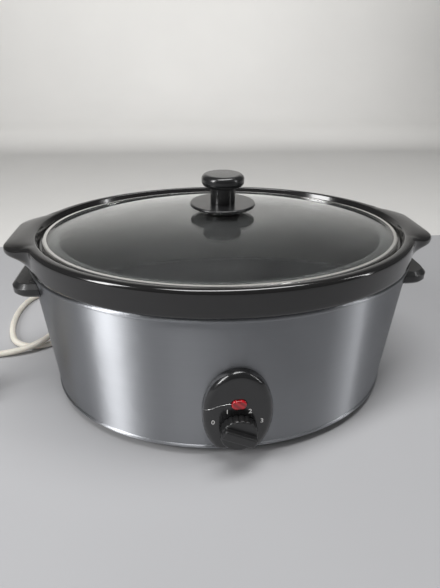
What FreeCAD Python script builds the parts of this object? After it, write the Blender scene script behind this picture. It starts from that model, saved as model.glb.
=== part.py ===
import FreeCAD, Part
import Sketcher
import math
import os
import re

# An oval slow cooker: a steel housing round a heating well, a lift-out crock, a glass lid and a dial.
# Millimetres. The origin is on the floor under the middle of the oval, +Z is up, the dial faces -Y.

SIZES = [
    # housing
    ("housing_height", 135.6, "steel wrap, lower edge to lip"),
    ("housing_half_length", 185.2, "steel wrap at the top, along X"),
    ("housing_half_width", 140.8, "steel wrap at the top, along Y"),
    ("end_taper", 9.6, "how far the ends draw in at the bottom"),
    ("side_taper", 3.2, "how far the sides draw in at the bottom"),
    ("steel", 1.0, "steel of the wrap"),
    ("bead_radius", 2.1, "rolled bead at the top and the bottom"),
    ("bead_proud", 1.4, "bead past the wrap's face"),
    ("bead_set", 0.3, "bead from the wrap's edge"),
    ("lip_width", 9.0, "lip turned in at the top"),
    # base and feet
    ("foot_height", 5.0, "foot, floor to base plate"),
    ("foot_radius", 11.0, "foot"),
    ("foot_bevel", 1.5, "foot's lower edge"),
    ("foot_stem_radius", 4.0, "foot's stem through the base plate"),
    ("foot_stem_height", 5.0, "foot's stem above the foot"),
    ("foot_inset_x", 57.6, "foot inside the housing's lower end"),
    ("foot_inset_y", 61.6, "foot inside the housing's lower side"),
    ("base_thickness", 2.4, "base plate"),
    ("base_recess", 2.0, "base plate's edge inside the housing's lower edge"),
    ("vent_length", 46.0, "vent slot in the base plate"),
    ("vent_width", 4.0, "vent slot in the base plate"),
    ("vent_pitch", 12.0, "vent slot to vent slot"),
    # heating well
    ("well_space", 20.2, "well's mouth inside the steel wrap"),
    ("well_taper", 12.0, "how far the well draws in at its floor"),
    ("well_corner", 16.0, "round between the well's wall and floor"),
    ("well_wall", 1.0, "metal of the well"),
    ("well_lift", 16.6, "base plate to the well's underside"),
    ("flange_gap", 0.5, "well's flange to the steel wrap"),
    # heater
    ("heater_low", 20.0, "well's underside to the heater band"),
    ("heater_height", 60.0, "heater band"),
    ("heater_thickness", 3.0, "heater band"),
    ("strap_height", 7.0, "strap round the heater band"),
    ("strap_thickness", 0.8, "strap round the heater band"),
    ("strap_inset", 8.0, "strap from the heater band's edge"),
    ("wrap_gap", 0.3, "between parts wrapped round each other"),
    ("fuse_radius", 2.5, "thermal fuse"),
    ("fuse_length", 16.0, "thermal fuse"),
    ("fuse_rise", 9.0, "thermal fuse above the heater band"),
    # crock
    ("crock_gap", 2.0, "crock to well"),
    ("crock_wall", 8.0, "crock's wall"),
    ("crock_base", 9.0, "crock's floor"),
    ("crock_corner", 15.0, "round between the crock's wall and floor"),
    ("rim_overhang_x", 1.5, "crock's rim past the steel wrap, along X"),
    ("rim_overhang_y", 2.3, "crock's rim past the steel wrap, along Y"),
    ("rim_height", 24.6, "crock's rim band"),
    ("rim_round", 4.0, "rim's upper edge"),
    ("rim_relief", 1.5, "rim's lower edge"),
    ("seat_depth", 9.0, "lid seat under the rim's top"),
    ("seat_slope", 2.5, "how much wider the recess is at the rim's top"),
    ("lid_gap", 3.0, "lid to recess at the seat"),
    ("ear_reach", 16.0, "ear past the rim's end"),
    ("ear_half_width", 60.0, "ear at its root, along Y"),
    ("ear_tip_half_width", 42.0, "ear at its outer edge, along Y"),
    ("ear_corner", 24.0, "ear's outer corner"),
    ("ear_thickness", 8.5, "ear's edge"),
    ("ear_edge", 2.4, "ear's rounded edge"),
    ("ear_drop", 4.0, "ear under the rim's top"),
    ("ear_flare", 15.0, "how far the ear's underside draws in"),
    # lid
    ("lid_inset_x", 15.1, "lid rim inside the crock's rim, along X"),
    ("lid_inset_y", 11.9, "lid rim inside the crock's rim, along Y"),
    ("lid_rim_width", 4.2, "lid rim seen from above"),
    ("lid_rim_round", 1.6, "lid rim's outer edges"),
    ("lid_rim_steel", 1.0, "lips of the lid rim"),
    ("lid_rim_play", 0.2, "lid rim's lips to the glass"),
    ("glass", 3.6, "glass of the lid"),
    ("dome_rise", 17.3, "dome above the glass's edge"),
    ("dome_flat_half_length", 27.5, "flat top of the dome, along X"),
    ("dome_flat_half_width", 21.0, "flat top of the dome, along Y"),
    ("glass_hole_radius", 4.0, "hole for the lid screw"),
    ("seal_thickness", 0.8, "washers each side of the glass"),
    ("seal_radius", 14.0, "washers each side of the glass"),
    ("collar_radius", 16.5, "collar under the guard disc"),
    ("collar_height", 6.0, "collar under the guard disc"),
    ("disc_radius", 31.5, "guard disc of the lid knob"),
    ("disc_thickness", 3.0, "guard disc of the lid knob"),
    ("disc_round", 1.3, "guard disc's edge"),
    ("stem_radius", 11.8, "lid knob's stem"),
    ("stem_height", 15.5, "lid knob's stem"),
    ("cap_radius", 20.2, "lid knob's cap"),
    ("cap_height", 11.5, "lid knob's cap"),
    ("cap_round", 4.6, "lid knob's cap"),
    ("screw_radius", 2.5, "lid screw"),
    ("screw_head_radius", 5.0, "lid screw's head"),
    ("screw_head_height", 3.0, "lid screw's head"),
    ("screw_bite", 12.0, "lid screw inside the knob's stem"),
    ("bore_play", 0.2, "hole to the screw or shaft in it"),
    # handles
    ("handle_reach", 10.5, "handle past the housing's end"),
    ("handle_half_width", 57.0, "handle, along Y"),
    ("handle_corner", 18.0, "handle's outer corner"),
    ("handle_thickness", 12.0, "handle"),
    ("handle_drop", 8.5, "handle under the lip"),
    ("handle_slope", 4.0, "how far the handle's top draws in"),
    ("handle_edge", 2.5, "handle's lower edge"),
    ("seat_gap", 0.2, "handle and panel to the steel"),
    ("handle_screw_spread", 34.0, "handle screw from the middle, along Y"),
    ("handle_screw_radius", 2.0, "handle screw"),
    ("handle_screw_bite", 8.0, "handle screw outside the steel"),
    ("handle_screw_head", 3.6, "handle screw's head"),
    # control panel
    ("panel_half_width", 30.0, "panel, along X"),
    ("panel_half_height", 45.0, "panel's full oval, along Z"),
    ("panel_level", 52.0, "panel's oval above the floor"),
    ("panel_cut", 15.5, "panel's straight lower edge above the floor"),
    ("panel_corner", 10.0, "panel's lower corners"),
    ("panel_stand_off", 7.4, "panel's face past the steel wrap's top"),
    ("panel_root", 12.8, "panel's back inside the steel wrap's top, before it is shaped to the steel"),
    ("panel_wall", 2.6, "panel's wall"),
    ("panel_round", 6.0, "panel's front edge"),
    ("window_inset", 8.0, "hole in the steel inside the panel's edge"),
    ("window_corner", 3.0, "hole's lower corners"),
    # dial
    ("dial_level", 40.0, "dial's axis above the floor"),
    ("dial_gap", 0.5, "dial to panel"),
    ("dial_radius", 15.8, "dial"),
    ("dial_height", 8.6, "dial's skirt"),
    ("dial_round", 1.8, "dial's front edge"),
    ("grip_width", 9.0, "dial's grip bar"),
    ("grip_rise", 4.6, "grip bar past the skirt"),
    ("grip_inset", 0.8, "grip bar's ends inside the skirt"),
    ("grip_round", 1.6, "grip bar's edges"),
    ("grip_turn", 155.0, "degrees from +X to the grip's pointing end, seen from the front"),
    ("flute_count", 20, "flutes round the dial"),
    ("flute_radius", 1.3, "flute"),
    ("flute_depth", 0.8, "flute"),
    ("dial_hollow_radius", 8.6, "hollow behind the dial"),
    ("dial_hollow_depth", 5.0, "hollow behind the dial"),
    ("shaft_radius", 3.0, "switch shaft"),
    ("shaft_tail", 7.0, "switch shaft inside the switch"),
    ("shaft_play", 0.06, "switch shaft in its bush"),
    ("switch_side", 26.0, "rotary switch"),
    ("switch_depth", 15.0, "rotary switch"),
    ("bush_radius", 4.6, "threaded bush of the switch"),
    ("nut_flats", 12.0, "switch nut across its flats"),
    ("nut_height", 2.4, "switch nut"),
    # pilot lamp
    ("lamp_level", 66.5, "pilot lamp above the floor"),
    ("lens_width", 12.4, "lens, along X"),
    ("lens_height", 8.8, "lens, along Z"),
    ("lens_corner", 4.2, "lens"),
    ("lens_proud", 2.0, "lens past the panel's face"),
    ("lens_flange", 1.5, "flange behind the panel"),
    ("lens_flange_thickness", 1.0, "flange behind the panel"),
    ("lens_round", 1.2, "lens's front edge"),
    ("lamp_radius", 4.5, "pilot lamp body"),
    ("lamp_length", 14.0, "pilot lamp body"),
    # base fixing
    ("stud_radius", 2.5, "stud under the well"),
    ("stud_stand_off", 1.0, "stud's end above the floor"),
    ("base_nut_flats", 8.0, "nut on the stud"),
    ("base_nut_height", 2.6, "nut on the stud"),
    ("base_washer_radius", 7.0, "washer on the stud"),
    ("base_washer_thickness", 0.8, "washer on the stud"),
    ("spacer_radius", 6.0, "spacer tube on the stud"),
    ("spacer_height", 6.0, "spacer tube on the stud"),
    ("reflector_inset", 36.0, "reflector's edge inside the base plate's"),
    ("reflector_thickness", 0.8, "heat reflector"),
    # cord, gland and wiring
    ("cord_radius", 3.5, "power cord"),
    ("gland_level", 21.0, "gland's axis above the floor"),
    ("gland_flange_radius", 8.0, "gland's flange"),
    ("gland_flange_thickness", 2.5, "gland's flange"),
    ("gland_neck_radius", 5.5, "gland in the steel"),
    ("gland_root_radius", 6.4, "gland's taper at the flange"),
    ("gland_tip_radius", 4.3, "gland's taper at its tip"),
    ("gland_length", 22.4, "gland's tip past the steel wrap's top"),
    ("gland_gap", 0.45, "gland's flanges to the steel"),
    ("block_length", 36.0, "terminal block"),
    ("block_width", 14.0, "terminal block"),
    ("block_height", 18.0, "terminal block"),
    ("block_setback", 34.8, "terminal block's front inside the steel wrap's top"),
    ("wire_radius", 1.3, "inner wires"),
    ("wire_bend", 6.0, "bend of the inner wires"),
    ("wire_offset", 8.0, "inner wires from the middle"),
    ("wire_stand_off", 0.4, "inner wires above the base plate"),
    # put-away coil, tie and plug
    ("coil_radius", 38.8, "outer loop of the coil, to the cord's middle"),
    ("coil_step", 8.9, "loop to loop and layer to layer"),
    ("coil_x", -340.0, "coil's middle"),
    ("coil_y", -4.8, "coil's middle"),
    ("tie_thickness", 0.9, "tie round the coil"),
    ("tie_width", 9.0, "tie round the coil"),
    ("tie_play", 0.8, "tie to the cord"),
    ("plug_length", 46.0, "plug, along the cord"),
    ("plug_width", 49.0, "plug, across the cord"),
    ("plug_height", 21.0, "plug's body"),
    ("plug_corner", 9.0, "plug's corners"),
    ("plug_sleeve_length", 31.0, "plug's strain relief"),
    ("plug_sleeve_tip_radius", 4.2, "plug's strain relief at the cord"),
    ("plug_sleeve_radius", 5.6, "plug's strain relief at the plug"),
    ("pin_spacing", 22.2, "pin to pin across, and to the earth pin"),
    ("pin_width", 6.4, "live and neutral pins"),
    ("pin_thickness", 4.0, "pins"),
    ("pin_length", 17.7, "live and neutral pins"),
    ("pin_sleeve", 9.0, "covered part of the live and neutral pins"),
    ("earth_pin_width", 8.0, "earth pin"),
    ("earth_pin_length", 22.7, "earth pin"),
    ("pin_setback", 11.5, "live and neutral pins from the plug's cord side"),
    ("fuse_cover_length", 9.0, "fuse cover in the plug's face"),
    ("fuse_cover_width", 24.0, "fuse cover in the plug's face"),
    ("fuse_cover_proud", 0.8, "fuse cover past the plug's face"),
]

# Sizes and places that follow from others by a clearance, as terms to add up, all from the middle:
# the feet, the well's mouth, the crock's rim, the lid rim, the panel's face, the gland's tip and the
# terminal block's front
FITS = {
    "foot_spread_x": ("housing_half_length", "-end_taper", "-foot_inset_x"),
    "foot_spread_y": ("housing_half_width", "-side_taper", "-foot_inset_y"),
    "well_half_length": ("housing_half_length", "-well_space"),
    "well_half_width": ("housing_half_width", "-well_space"),
    "rim_half_length": ("housing_half_length", "rim_overhang_x"),
    "rim_half_width": ("housing_half_width", "rim_overhang_y"),
    "lid_half_length": ("rim_half_length", "-lid_inset_x"),
    "lid_half_width": ("rim_half_width", "-lid_inset_y"),
    "panel_face": ("housing_half_width", "panel_stand_off"),
    "gland_tip": ("housing_half_width", "gland_length"),
    "block_place": ("housing_half_width", "-block_setback"),
}

# The cord's route from the gland to the coil: out of the gland, down to the floor, round the back and
# left side of the housing, one loop over itself, then away to the left. It ends at the coil.
GLAND_RUN = [(0, 184, 19.5), (-14, 205, 13), (-40, 216, 6)]
FLOOR_RUN = [
    (-73, 213), (-105, 200), (-134, 180), (-158, 152), (-173, 119), (-181, 86), (-191, 56),
    (-217, 43.5), (-244, 54), (-256.5, 82.5), (-262, 115), (-261, 147), (-252, 175), (-228, 190),
    (-200, 186), (-181, 165), (-180, 136), (-186, 108),
]
CROSSING_RUN = [(-195, 91, 7.0), (-196, 66, 12.8), (-207, 43, 12.8), (-232, 33, 7.0)]
LAST_RUN = [(-266, 31), (-300, 34)]

doc = FreeCAD.newDocument("slow_cooker")
dims = doc.addObject("Spreadsheet::Sheet", "dims")
for row, (alias, number, note) in enumerate(SIZES, start=1):
    dims.set("A%d" % row, note)
    dims.set("B%d" % row, str(number))
    dims.setAlias("B%d" % row, alias)
doc.recompute()

NAMES = {alias for alias, number, note in SIZES}
NODES = []

# Levels above the floor and distances from the middle, as formulas of the sheet
BASE_TOP = "(foot_height + base_thickness)"
LIP_TOP = "(%s + housing_height)" % BASE_TOP
LIP_UNDER = "(%s - steel)" % LIP_TOP
WELL_UNDER = "(%s + well_lift)" % BASE_TOP
WELL_FLOOR = "(%s + well_wall)" % WELL_UNDER
CROCK_UNDER = "(%s + crock_gap)" % WELL_FLOOR
CROCK_FLOOR = "(%s + crock_base)" % CROCK_UNDER
RIM_TOP = "(%s + rim_height)" % LIP_TOP
SEAT = "(%s - seat_depth)" % RIM_TOP
GLASS_UNDER = "(%s + lid_rim_steel)" % SEAT
LID_RIM_TOP = "(%s + glass + lid_rim_play + lid_rim_steel)" % GLASS_UNDER
DOME_TOP = "(%s + glass + dome_rise)" % GLASS_UNDER
DOME_UNDER = "(%s + dome_rise)" % GLASS_UNDER
COLLAR_UNDER = "(%s + seal_thickness)" % DOME_TOP
DISC_TOP = "(collar_height + disc_thickness)"
PANEL_BACK = "(panel_face - panel_wall)"
DIAL_BACK = "(panel_face + dial_gap)"
HEATER_LOW = "(%s + heater_low)" % WELL_UNDER
HEATER_TOP = "(%s + heater_height)" % HEATER_LOW
HANDLE_MIDDLE = "(%s - handle_drop - handle_thickness / 2)" % LIP_TOP
LOWER_HALF_LENGTH = "(housing_half_length - end_taper)"
LOWER_HALF_WIDTH = "(housing_half_width - side_taper)"

UP = FreeCAD.Rotation()
FRONT = FreeCAD.Rotation(FreeCAD.Vector(1, 0, 0), 90)
REAR = FreeCAD.Rotation(FreeCAD.Vector(1, 0, 0), -90)
RIGHT = FreeCAD.Rotation(FreeCAD.Vector(0, 1, 0), 90)
LEFT = FreeCAD.Rotation(FreeCAD.Vector(0, 1, 0), -90)


def spelled_out(name):
    """A name as the sheet has it, or a fit as the sum of its terms."""
    if name not in FITS:
        return "dims." + name if name in NAMES else name
    terms = ["(-%s)" % spelled_out(term[1:]) if term.startswith("-") else spelled_out(term)
             for term in FITS[name]]
    return "(%s)" % " + ".join(terms)


def bind(target, prop, formula):
    """Tie a property to a formula of sheet names and fits."""
    target.setExpression(prop, re.sub(r"[a-z]\w*", lambda match: spelled_out(match.group()), formula))


def place(target, at, facing=UP):
    """Turn an object, then tie its place to three formulas."""
    target.Placement = FreeCAD.Placement(FreeCAD.Vector(), facing)
    for axis, formula in zip("xyz", at):
        bind(target, "Placement.Base." + axis, formula)
    return target


def node(label, thing):
    """Name a finished sub-part and list it for export."""
    thing.Label = label
    NODES.append(thing)
    return thing


def oval_solid(name, levels):
    """A solid through ovals given as (half length, half width, level), bottom first."""
    ovals = []
    for step, (half_length, half_width, level) in enumerate(levels):
        oval = doc.addObject("Part::Ellipse", "%s_oval%d" % (name, step))
        bind(oval, "MajorRadius", half_length)
        bind(oval, "MinorRadius", half_width)
        ovals.append(place(oval, ("0", "0", level)))
    loft = doc.addObject("Part::Loft", name)
    loft.Sections = ovals
    loft.Solid = True
    loft.Ruled = True
    return loft


def inset_levels(half_length, half_width, steps):
    """Oval levels that all draw in from one oval, from (inset, level) pairs."""
    return [("%s - (%s)" % (half_length, inset), "%s - (%s)" % (half_width, inset), level)
            for inset, level in steps]


def cut(name, base, *tools):
    """Take tools away from a base, one after the other."""
    for step, tool in enumerate(tools):
        result = doc.addObject("Part::Cut", name if step == len(tools) - 1 else "%s_cut%d" % (name, step))
        result.Base = base
        result.Tool = tool
        base = result
    return base


def fuse(name, *shapes):
    """Join shapes into one."""
    joined = doc.addObject("Part::MultiFuse", name)
    joined.Shapes = list(shapes)
    return joined


def block(name, length, width, height, at):
    """A box from its lowest corner."""
    box = doc.addObject("Part::Box", name)
    bind(box, "Length", length)
    bind(box, "Width", width)
    bind(box, "Height", height)
    return place(box, at)


def rod(name, radius, height, at, facing=UP):
    """A cylinder from the middle of its lower end."""
    cylinder = doc.addObject("Part::Cylinder", name)
    bind(cylinder, "Radius", radius)
    bind(cylinder, "Height", height)
    return place(cylinder, at, facing)


def origin_feature(body, role):
    """One of a body's own planes or axes."""
    return next(item for item in body.Origin.OriginFeatures if item.Role == role)


def sketch_in(body, name, plane):
    """An empty sketch on one of a body's own planes."""
    sketch = body.newObject("Sketcher::SketchObject", name)
    sketch.AttachmentSupport = [(origin_feature(body, plane), "")]
    sketch.MapMode = "FlatFace"
    return sketch


def closed_profile(sketch, corners):
    """Straight sides through corners, each corner tied to two formulas."""
    count = len(corners)
    turns = [2 * math.pi * i / count for i in range(count)]
    spots = [FreeCAD.Vector(10 + 5 * math.cos(turn), 10 + 5 * math.sin(turn), 0) for turn in turns]
    for i in range(count):
        sketch.addGeometry(Part.LineSegment(spots[i], spots[(i + 1) % count]), False)
    for i in range(count):
        sketch.addConstraint(Sketcher.Constraint("Coincident", i, 2, (i + 1) % count, 1))
    for i, corner in enumerate(corners):
        for kind, axis, formula in (("DistanceX", -2, corner[0]), ("DistanceY", -1, corner[1])):
            if formula == "0":
                sketch.addConstraint(Sketcher.Constraint("PointOnObject", i, 1, axis))
                continue
            spot = spots[i].x if kind == "DistanceX" else spots[i].y
            index = sketch.addConstraint(Sketcher.Constraint(kind, -1, 1, i, 1, spot))
            bind(sketch, "Constraints[%d]" % index, formula)


def turned(name, corners, at, facing=UP):
    """A body turned about its own axis from (radius, height) corners."""
    body = doc.addObject("PartDesign::Body", name)
    sketch = sketch_in(body, name + "_profile", "XZ_Plane")
    closed_profile(sketch, corners)
    turn = body.newObject("PartDesign::Revolution", name + "_turn")
    turn.Profile = sketch
    turn.ReferenceAxis = (sketch, ["V_Axis"])
    sketch.Visibility = False
    return place(body, at, facing)


def size(alias):
    """A number of the sheet, or a fit worked out from it."""
    if alias not in FITS:
        return float(getattr(dims, alias))
    return sum(-size(term[1:]) if term.startswith("-") else size(term) for term in FITS[alias])


def ring_edges(shape, radius, level):
    """Names of a turned shape's circles of one radius at one level."""
    close = 0.01
    return ["Edge%d" % (i + 1) for i, edge in enumerate(shape.Edges)
            if isinstance(edge.Curve, Part.Circle)
            and abs(edge.Curve.Radius - radius) < close and abs(edge.Curve.Center.z - level) < close]


def rounded(body, radius, rings):
    """Round some circles of a turned body, given as (radius, level) numbers."""
    doc.recompute()
    last = body.Tip
    fillet = body.newObject("PartDesign::Fillet", body.Name + "_round")
    fillet.Base = (last, [edge for ring in rings for edge in ring_edges(last.Shape, *ring)])
    bind(fillet, "Radius", radius)
    return body


def featured(name, shape):
    """A sub-part whose shape is worked out from the sheet's numbers."""
    thing = doc.addObject("Part::Feature", name)
    thing.Shape = shape
    return thing


def base_top():
    return size("foot_height") + size("base_thickness")


def lip_top():
    return base_top() + size("housing_height")


def rim_top():
    return lip_top() + size("rim_height")


def wrap_solid(name, inset, low=BASE_TOP, high=LIP_TOP):
    """The inside or outside of the steel wrap as a solid, drawn in by an inset."""
    return oval_solid(name, [
        ("%s - (%s)" % (LOWER_HALF_LENGTH, inset), "%s - (%s)" % (LOWER_HALF_WIDTH, inset), low),
        ("housing_half_length - (%s)" % inset, "housing_half_width - (%s)" % inset, high)])


def wrap_bead(name, draw_x, draw_y, level):
    """A rolled bead: a round section along the wrap's oval."""
    spine = doc.addObject("Part::Ellipse", name + "_spine")
    half_length = "housing_half_length - (%s) + bead_proud - bead_radius" % draw_x
    bind(spine, "MajorRadius", half_length)
    bind(spine, "MinorRadius", "housing_half_width - (%s) + bead_proud - bead_radius" % draw_y)
    place(spine, ("0", "0", level))
    section = doc.addObject("Part::Circle", name + "_section")
    bind(section, "Radius", "bead_radius")
    place(section, (half_length, "0", level), FRONT)
    bead = doc.addObject("Part::Sweep", name)
    bead.Sections = [section]
    bead.Spine = (spine, ["Edge1"])
    bead.Solid = True
    bead.Frenet = False
    return bead


def panel_prism(name, inset, corner, near, far):
    """The panel's oval with its straight lower edge and round lower corners, from one distance to
    another along -Y."""
    up, right, rear = FreeCAD.Vector(0, 0, 1), FreeCAD.Vector(1, 0, 0), FreeCAD.Vector(0, 1, 0)
    on_front = FreeCAD.Rotation(up, right, rear, "XYZ")
    oval = doc.addObject("Part::Ellipse", name + "_oval")
    bind(oval, "MajorRadius", "panel_half_height - (%s)" % inset)
    bind(oval, "MinorRadius", "panel_half_width - (%s)" % inset)
    place(oval, ("0", "-(%s)" % near, "panel_level"), on_front)
    prism = doc.addObject("Part::Extrusion", name + "_full")
    prism.Base = oval
    prism.DirMode = "Custom"
    prism.Dir = FreeCAD.Vector(0, -1, 0)
    prism.Solid = True
    bind(prism, "LengthFwd", "%s - (%s)" % (far, near))
    below = block(name + "_below", "2 * panel_half_width", "%s - (%s)" % (far, near), "panel_half_height",
                  ("-panel_half_width", "-(%s)" % far, "panel_cut + (%s) - panel_half_height" % inset))
    return filleted(name, cut(name + "_trimmed", prism, below), corner, lies_below(size("panel_level")))


def filleted(name, base, radius, picks):
    """Round the straight or curved edges of a shape that a test picks."""
    doc.recompute()
    fillet = doc.addObject("Part::Fillet", name)
    fillet.Base = base
    fillet.Edges = [(i + 1, radius, radius) for i, edge in enumerate(base.Shape.Edges) if picks(edge)]
    return fillet


def runs_along(axis):
    """A test for edges that run along one axis."""
    def picks(edge):
        span = edge.BoundBox
        lengths = {"x": span.XLength, "y": span.YLength, "z": span.ZLength}
        return all(length < 0.01 for name, length in lengths.items() if name != axis)
    return picks


def lies_below(level):
    """A test for edges along Y below a level."""
    along = runs_along("y")

    def picks(edge):
        return along(edge) and edge.BoundBox.ZMax < level
    return picks


def lies_at_front(distance):
    """A test for edges in the plane at a distance towards -Y."""
    def picks(edge):
        return abs(edge.BoundBox.YMin + distance) < 0.01 and edge.BoundBox.YLength < 0.01
    return picks


def vessel_steps(taper, corner, floor, top):
    """Insets and levels of a drafted tub, with a round of three chords between floor and wall."""
    steps = []
    chords = 3
    for chord in range(chords + 1):
        angle = math.pi / 2 * chord / chords
        steps.append(("%s + (%s) * %.4f" % (taper, corner, 1 - math.sin(angle)),
                      "%s + (%s) * %.4f" % (floor, corner, 1 - math.cos(angle))))
    return steps + [("0", top)]


def well_draw(level):
    """How far the well's outside has drawn in at a level of its straight wall."""
    straight = "(%s - %s - well_corner - well_wall)" % (LIP_UNDER, WELL_UNDER)
    return "(well_taper * (%s - (%s)) / %s)" % (LIP_UNDER, level, straight)


def wall_draw(level):
    """How far the steel wrap's sides have drawn in at a level."""
    return "(side_taper * (%s - (%s)) / housing_height)" % (LIP_TOP, level)


def well_band(name, low, high, gap, thickness):
    """A band round the heating well, between two levels and a gap away from it."""
    def around(suffix, distance):
        return oval_solid(name + suffix, [
            ("well_half_length + well_wall + %s - %s" % (distance, well_draw(level)),
             "well_half_width + well_wall + %s - %s" % (distance, well_draw(level)), level)
            for level in (low, high)])
    return cut(name, around("_outside", "(%s) + %s" % (gap, thickness)), around("_inside", "(%s)" % gap))


def tube(name, outer, inner, height, at):
    """A round ring or tube, standing."""
    return cut(name, rod(name + "_outside", outer, height, at), rod(name + "_inside", inner, height, at))


def hexagon(name, flats, bore, height, at, facing=UP):
    """A nut with a plain bore."""
    prism = doc.addObject("Part::Prism", name + "_outside")
    prism.Polygon = 6
    bind(prism, "Circumradius", "%s / sqrt(3)" % flats)
    bind(prism, "Height", height)
    place(prism, at, facing)
    return cut(name, prism, rod(name + "_bore", bore, height, at, facing))


def group(name, *solids):
    """Separate like pieces in one node."""
    pieces = doc.addObject("Part::Compound", name)
    pieces.Links = list(solids)
    return pieces


def corner_path(points, radii, closed=False):
    """Straight runs through points, with a tangent arc of its own radius at each corner."""
    spots = [FreeCAD.Vector(*point) for point in points]
    count = len(spots)
    corners = range(count) if closed else range(1, count - 1)
    arcs = {}
    for i in corners:
        before = (spots[i - 1] - spots[i]).normalize()
        after = (spots[(i + 1) % count] - spots[i]).normalize()
        half_turn = (math.pi - before.getAngle(after)) / 2
        reach = radii[i] * math.tan(half_turn)
        middle = (before + after).normalize() * (radii[i] / math.cos(half_turn) - radii[i])
        arcs[i] = (spots[i] + before * reach, spots[i] + middle, spots[i] + after * reach)
    edges = []
    last = arcs[0][2] if closed else spots[0]
    for i in list(range(1, count)) + ([0] if closed else []):
        start = arcs[i][0] if i in arcs else spots[i]
        edges.append(Part.LineSegment(last, start).toShape())
        if i in arcs:
            edges.append(Part.Arc(*arcs[i]).toShape())
            last = arcs[i][2]
    return Part.Wire(edges)


def swept_round(path, radius):
    """A round tube along a path, with its volume held against its section times its length."""
    first = path.Edges[0]
    start = first.valueAt(first.FirstParameter)
    tangent = first.tangentAt(first.FirstParameter)
    section = Part.Wire(Part.makeCircle(radius, start, tangent))
    solid = path.makePipeShell([section], True, False)
    expected = math.pi * radius ** 2 * path.Length
    if abs(solid.Volume / expected - 1) > 0.01:
        raise RuntimeError("tube volume %.1f, expected %.1f" % (solid.Volume, expected))
    return solid


def lug_solid(levels):
    """A lug along +X, ruled through outlines of (reach, root width, tip width, corner, level)."""
    root = size("rim_half_length") - size("ear_half_width")
    outlines = []
    square = 0.5
    for reach, root_width, tip_width, corner, level in levels:
        outline = [(root, -root_width, level), (reach, -tip_width, level),
                   (reach, tip_width, level), (root, root_width, level)]
        outlines.append(corner_path(outline, [square, corner, corner, square], closed=True))
    lug = Part.Solid(Part.makeLoft(outlines, True, True))
    if lug.Volume < 0:
        lug.reverse()
    return lug


def both_ends(shape):
    """A shape at the right end and its mirror at the left end."""
    return shape, shape.mirror(FreeCAD.Vector(), FreeCAD.Vector(1, 0, 0))


def mirrored(name, source):
    """The same piece at the other end."""
    twin = doc.addObject("Part::Mirroring", name)
    twin.Source = source
    twin.Normal = FreeCAD.Vector(1, 0, 0)
    return twin


def make_base():
    """Base plate, feet, stud with its nut, spacer and heat reflector."""
    half = (LOWER_HALF_LENGTH, LOWER_HALF_WIDTH)
    plate = oval_solid("base_blank", inset_levels(
        *half, [("base_recess", level) for level in ("foot_height", BASE_TOP)]))
    holes = [rod("base_stud_hole", "stud_radius + bore_play", "base_thickness", ("0", "0", "foot_height"))]
    for side, x in (("left", "-foot_spread_x"), ("right", "foot_spread_x")):
        for end, y in (("front", "-foot_spread_y"), ("rear", "foot_spread_y")):
            name = "foot_%s_%s" % (end, side)
            holes.append(rod(name + "_hole", "foot_stem_radius + bore_play", "base_thickness",
                             (x, y, "foot_height")))
            stem_top = "foot_height + foot_stem_height"
            foot = turned(name, [
                ("0", "0"), ("foot_radius - foot_bevel", "0"), ("foot_radius", "foot_bevel"),
                ("foot_radius", "foot_height"), ("foot_stem_radius", "foot_height"),
                ("foot_stem_radius", stem_top), ("0", stem_top)], (x, y, "0"))
            node(name, foot)
    for row in (-2, -1, 1, 2):
        for side, x in (("left", "-foot_spread_x / 2"), ("right", "foot_spread_x / 2")):
            corner = ("%s - vent_length / 2" % x, "%d * vent_pitch - vent_width / 2" % row, "foot_height")
            holes.append(block("base_vent_%s_%d" % (side, row + 2), "vent_length", "vent_width",
                               "base_thickness", corner))
    node("base_plate", cut("base_plate", plate, fuse("base_holes", *holes)))
    node("base_stud", rod("base_stud", "stud_radius", "%s - stud_stand_off" % WELL_UNDER,
                          ("0", "0", "stud_stand_off")))
    washer_level = "foot_height - base_washer_thickness"
    bore = "stud_radius + bore_play"
    node("base_washer", tube("base_washer", "base_washer_radius", bore, "base_washer_thickness",
                             ("0", "0", washer_level)))
    node("base_nut", hexagon("base_nut", "base_nut_flats", bore, "base_nut_height",
                             ("0", "0", washer_level + " - base_nut_height")))
    node("spacer_tube", tube("spacer_tube", "spacer_radius", bore, "spacer_height", ("0", "0", BASE_TOP)))
    reflector_low = BASE_TOP + " + spacer_height"
    reflector = oval_solid("reflector_blank", inset_levels(
        *half, [("base_recess + reflector_inset", level)
                for level in (reflector_low, reflector_low + " + reflector_thickness")]))
    hole = rod("reflector_hole", bore, "reflector_thickness", ("0", "0", reflector_low))
    node("heat_reflector", cut("heat_reflector", reflector, hole))


def make_housing():
    """Steel wrap with its beads and lip, with the holes for the panel, gland and handle screws."""
    solid = fuse("housing_solid", wrap_solid("wrap_outside", "0"),
                 wrap_bead("top_bead", "0", "0", LIP_TOP + " - bead_radius - bead_set"),
                 wrap_bead("bottom_bead", "end_taper", "side_taper", BASE_TOP + " + bead_radius + bead_set"))
    mouth = oval_solid("lip_mouth", inset_levels("housing_half_length", "housing_half_width",
                                                 [("lip_width", LIP_UNDER), ("lip_width", LIP_TOP)]))
    holes = [panel_prism("panel_window", "window_inset", size("window_corner"),
                         "housing_half_width - panel_root", "panel_face"),
             rod("gland_hole", "gland_neck_radius + bore_play", "gland_tip - block_place",
                 ("0", "block_place", "gland_level"), REAR)]
    for place_name, y in (("front", "-handle_screw_spread"), ("rear", "handle_screw_spread")):
        holes.append(rod("handle_screw_holes_" + place_name, "handle_screw_radius + bore_play",
                         "2 * (housing_half_length + handle_reach)",
                         ("-housing_half_length - handle_reach", y, HANDLE_MIDDLE), RIGHT))
    hollow = wrap_solid("wrap_inside", "steel", BASE_TOP, LIP_UNDER)
    node("outer_housing", cut("outer_housing", solid, hollow, mouth, fuse("housing_holes", *holes)))


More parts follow.
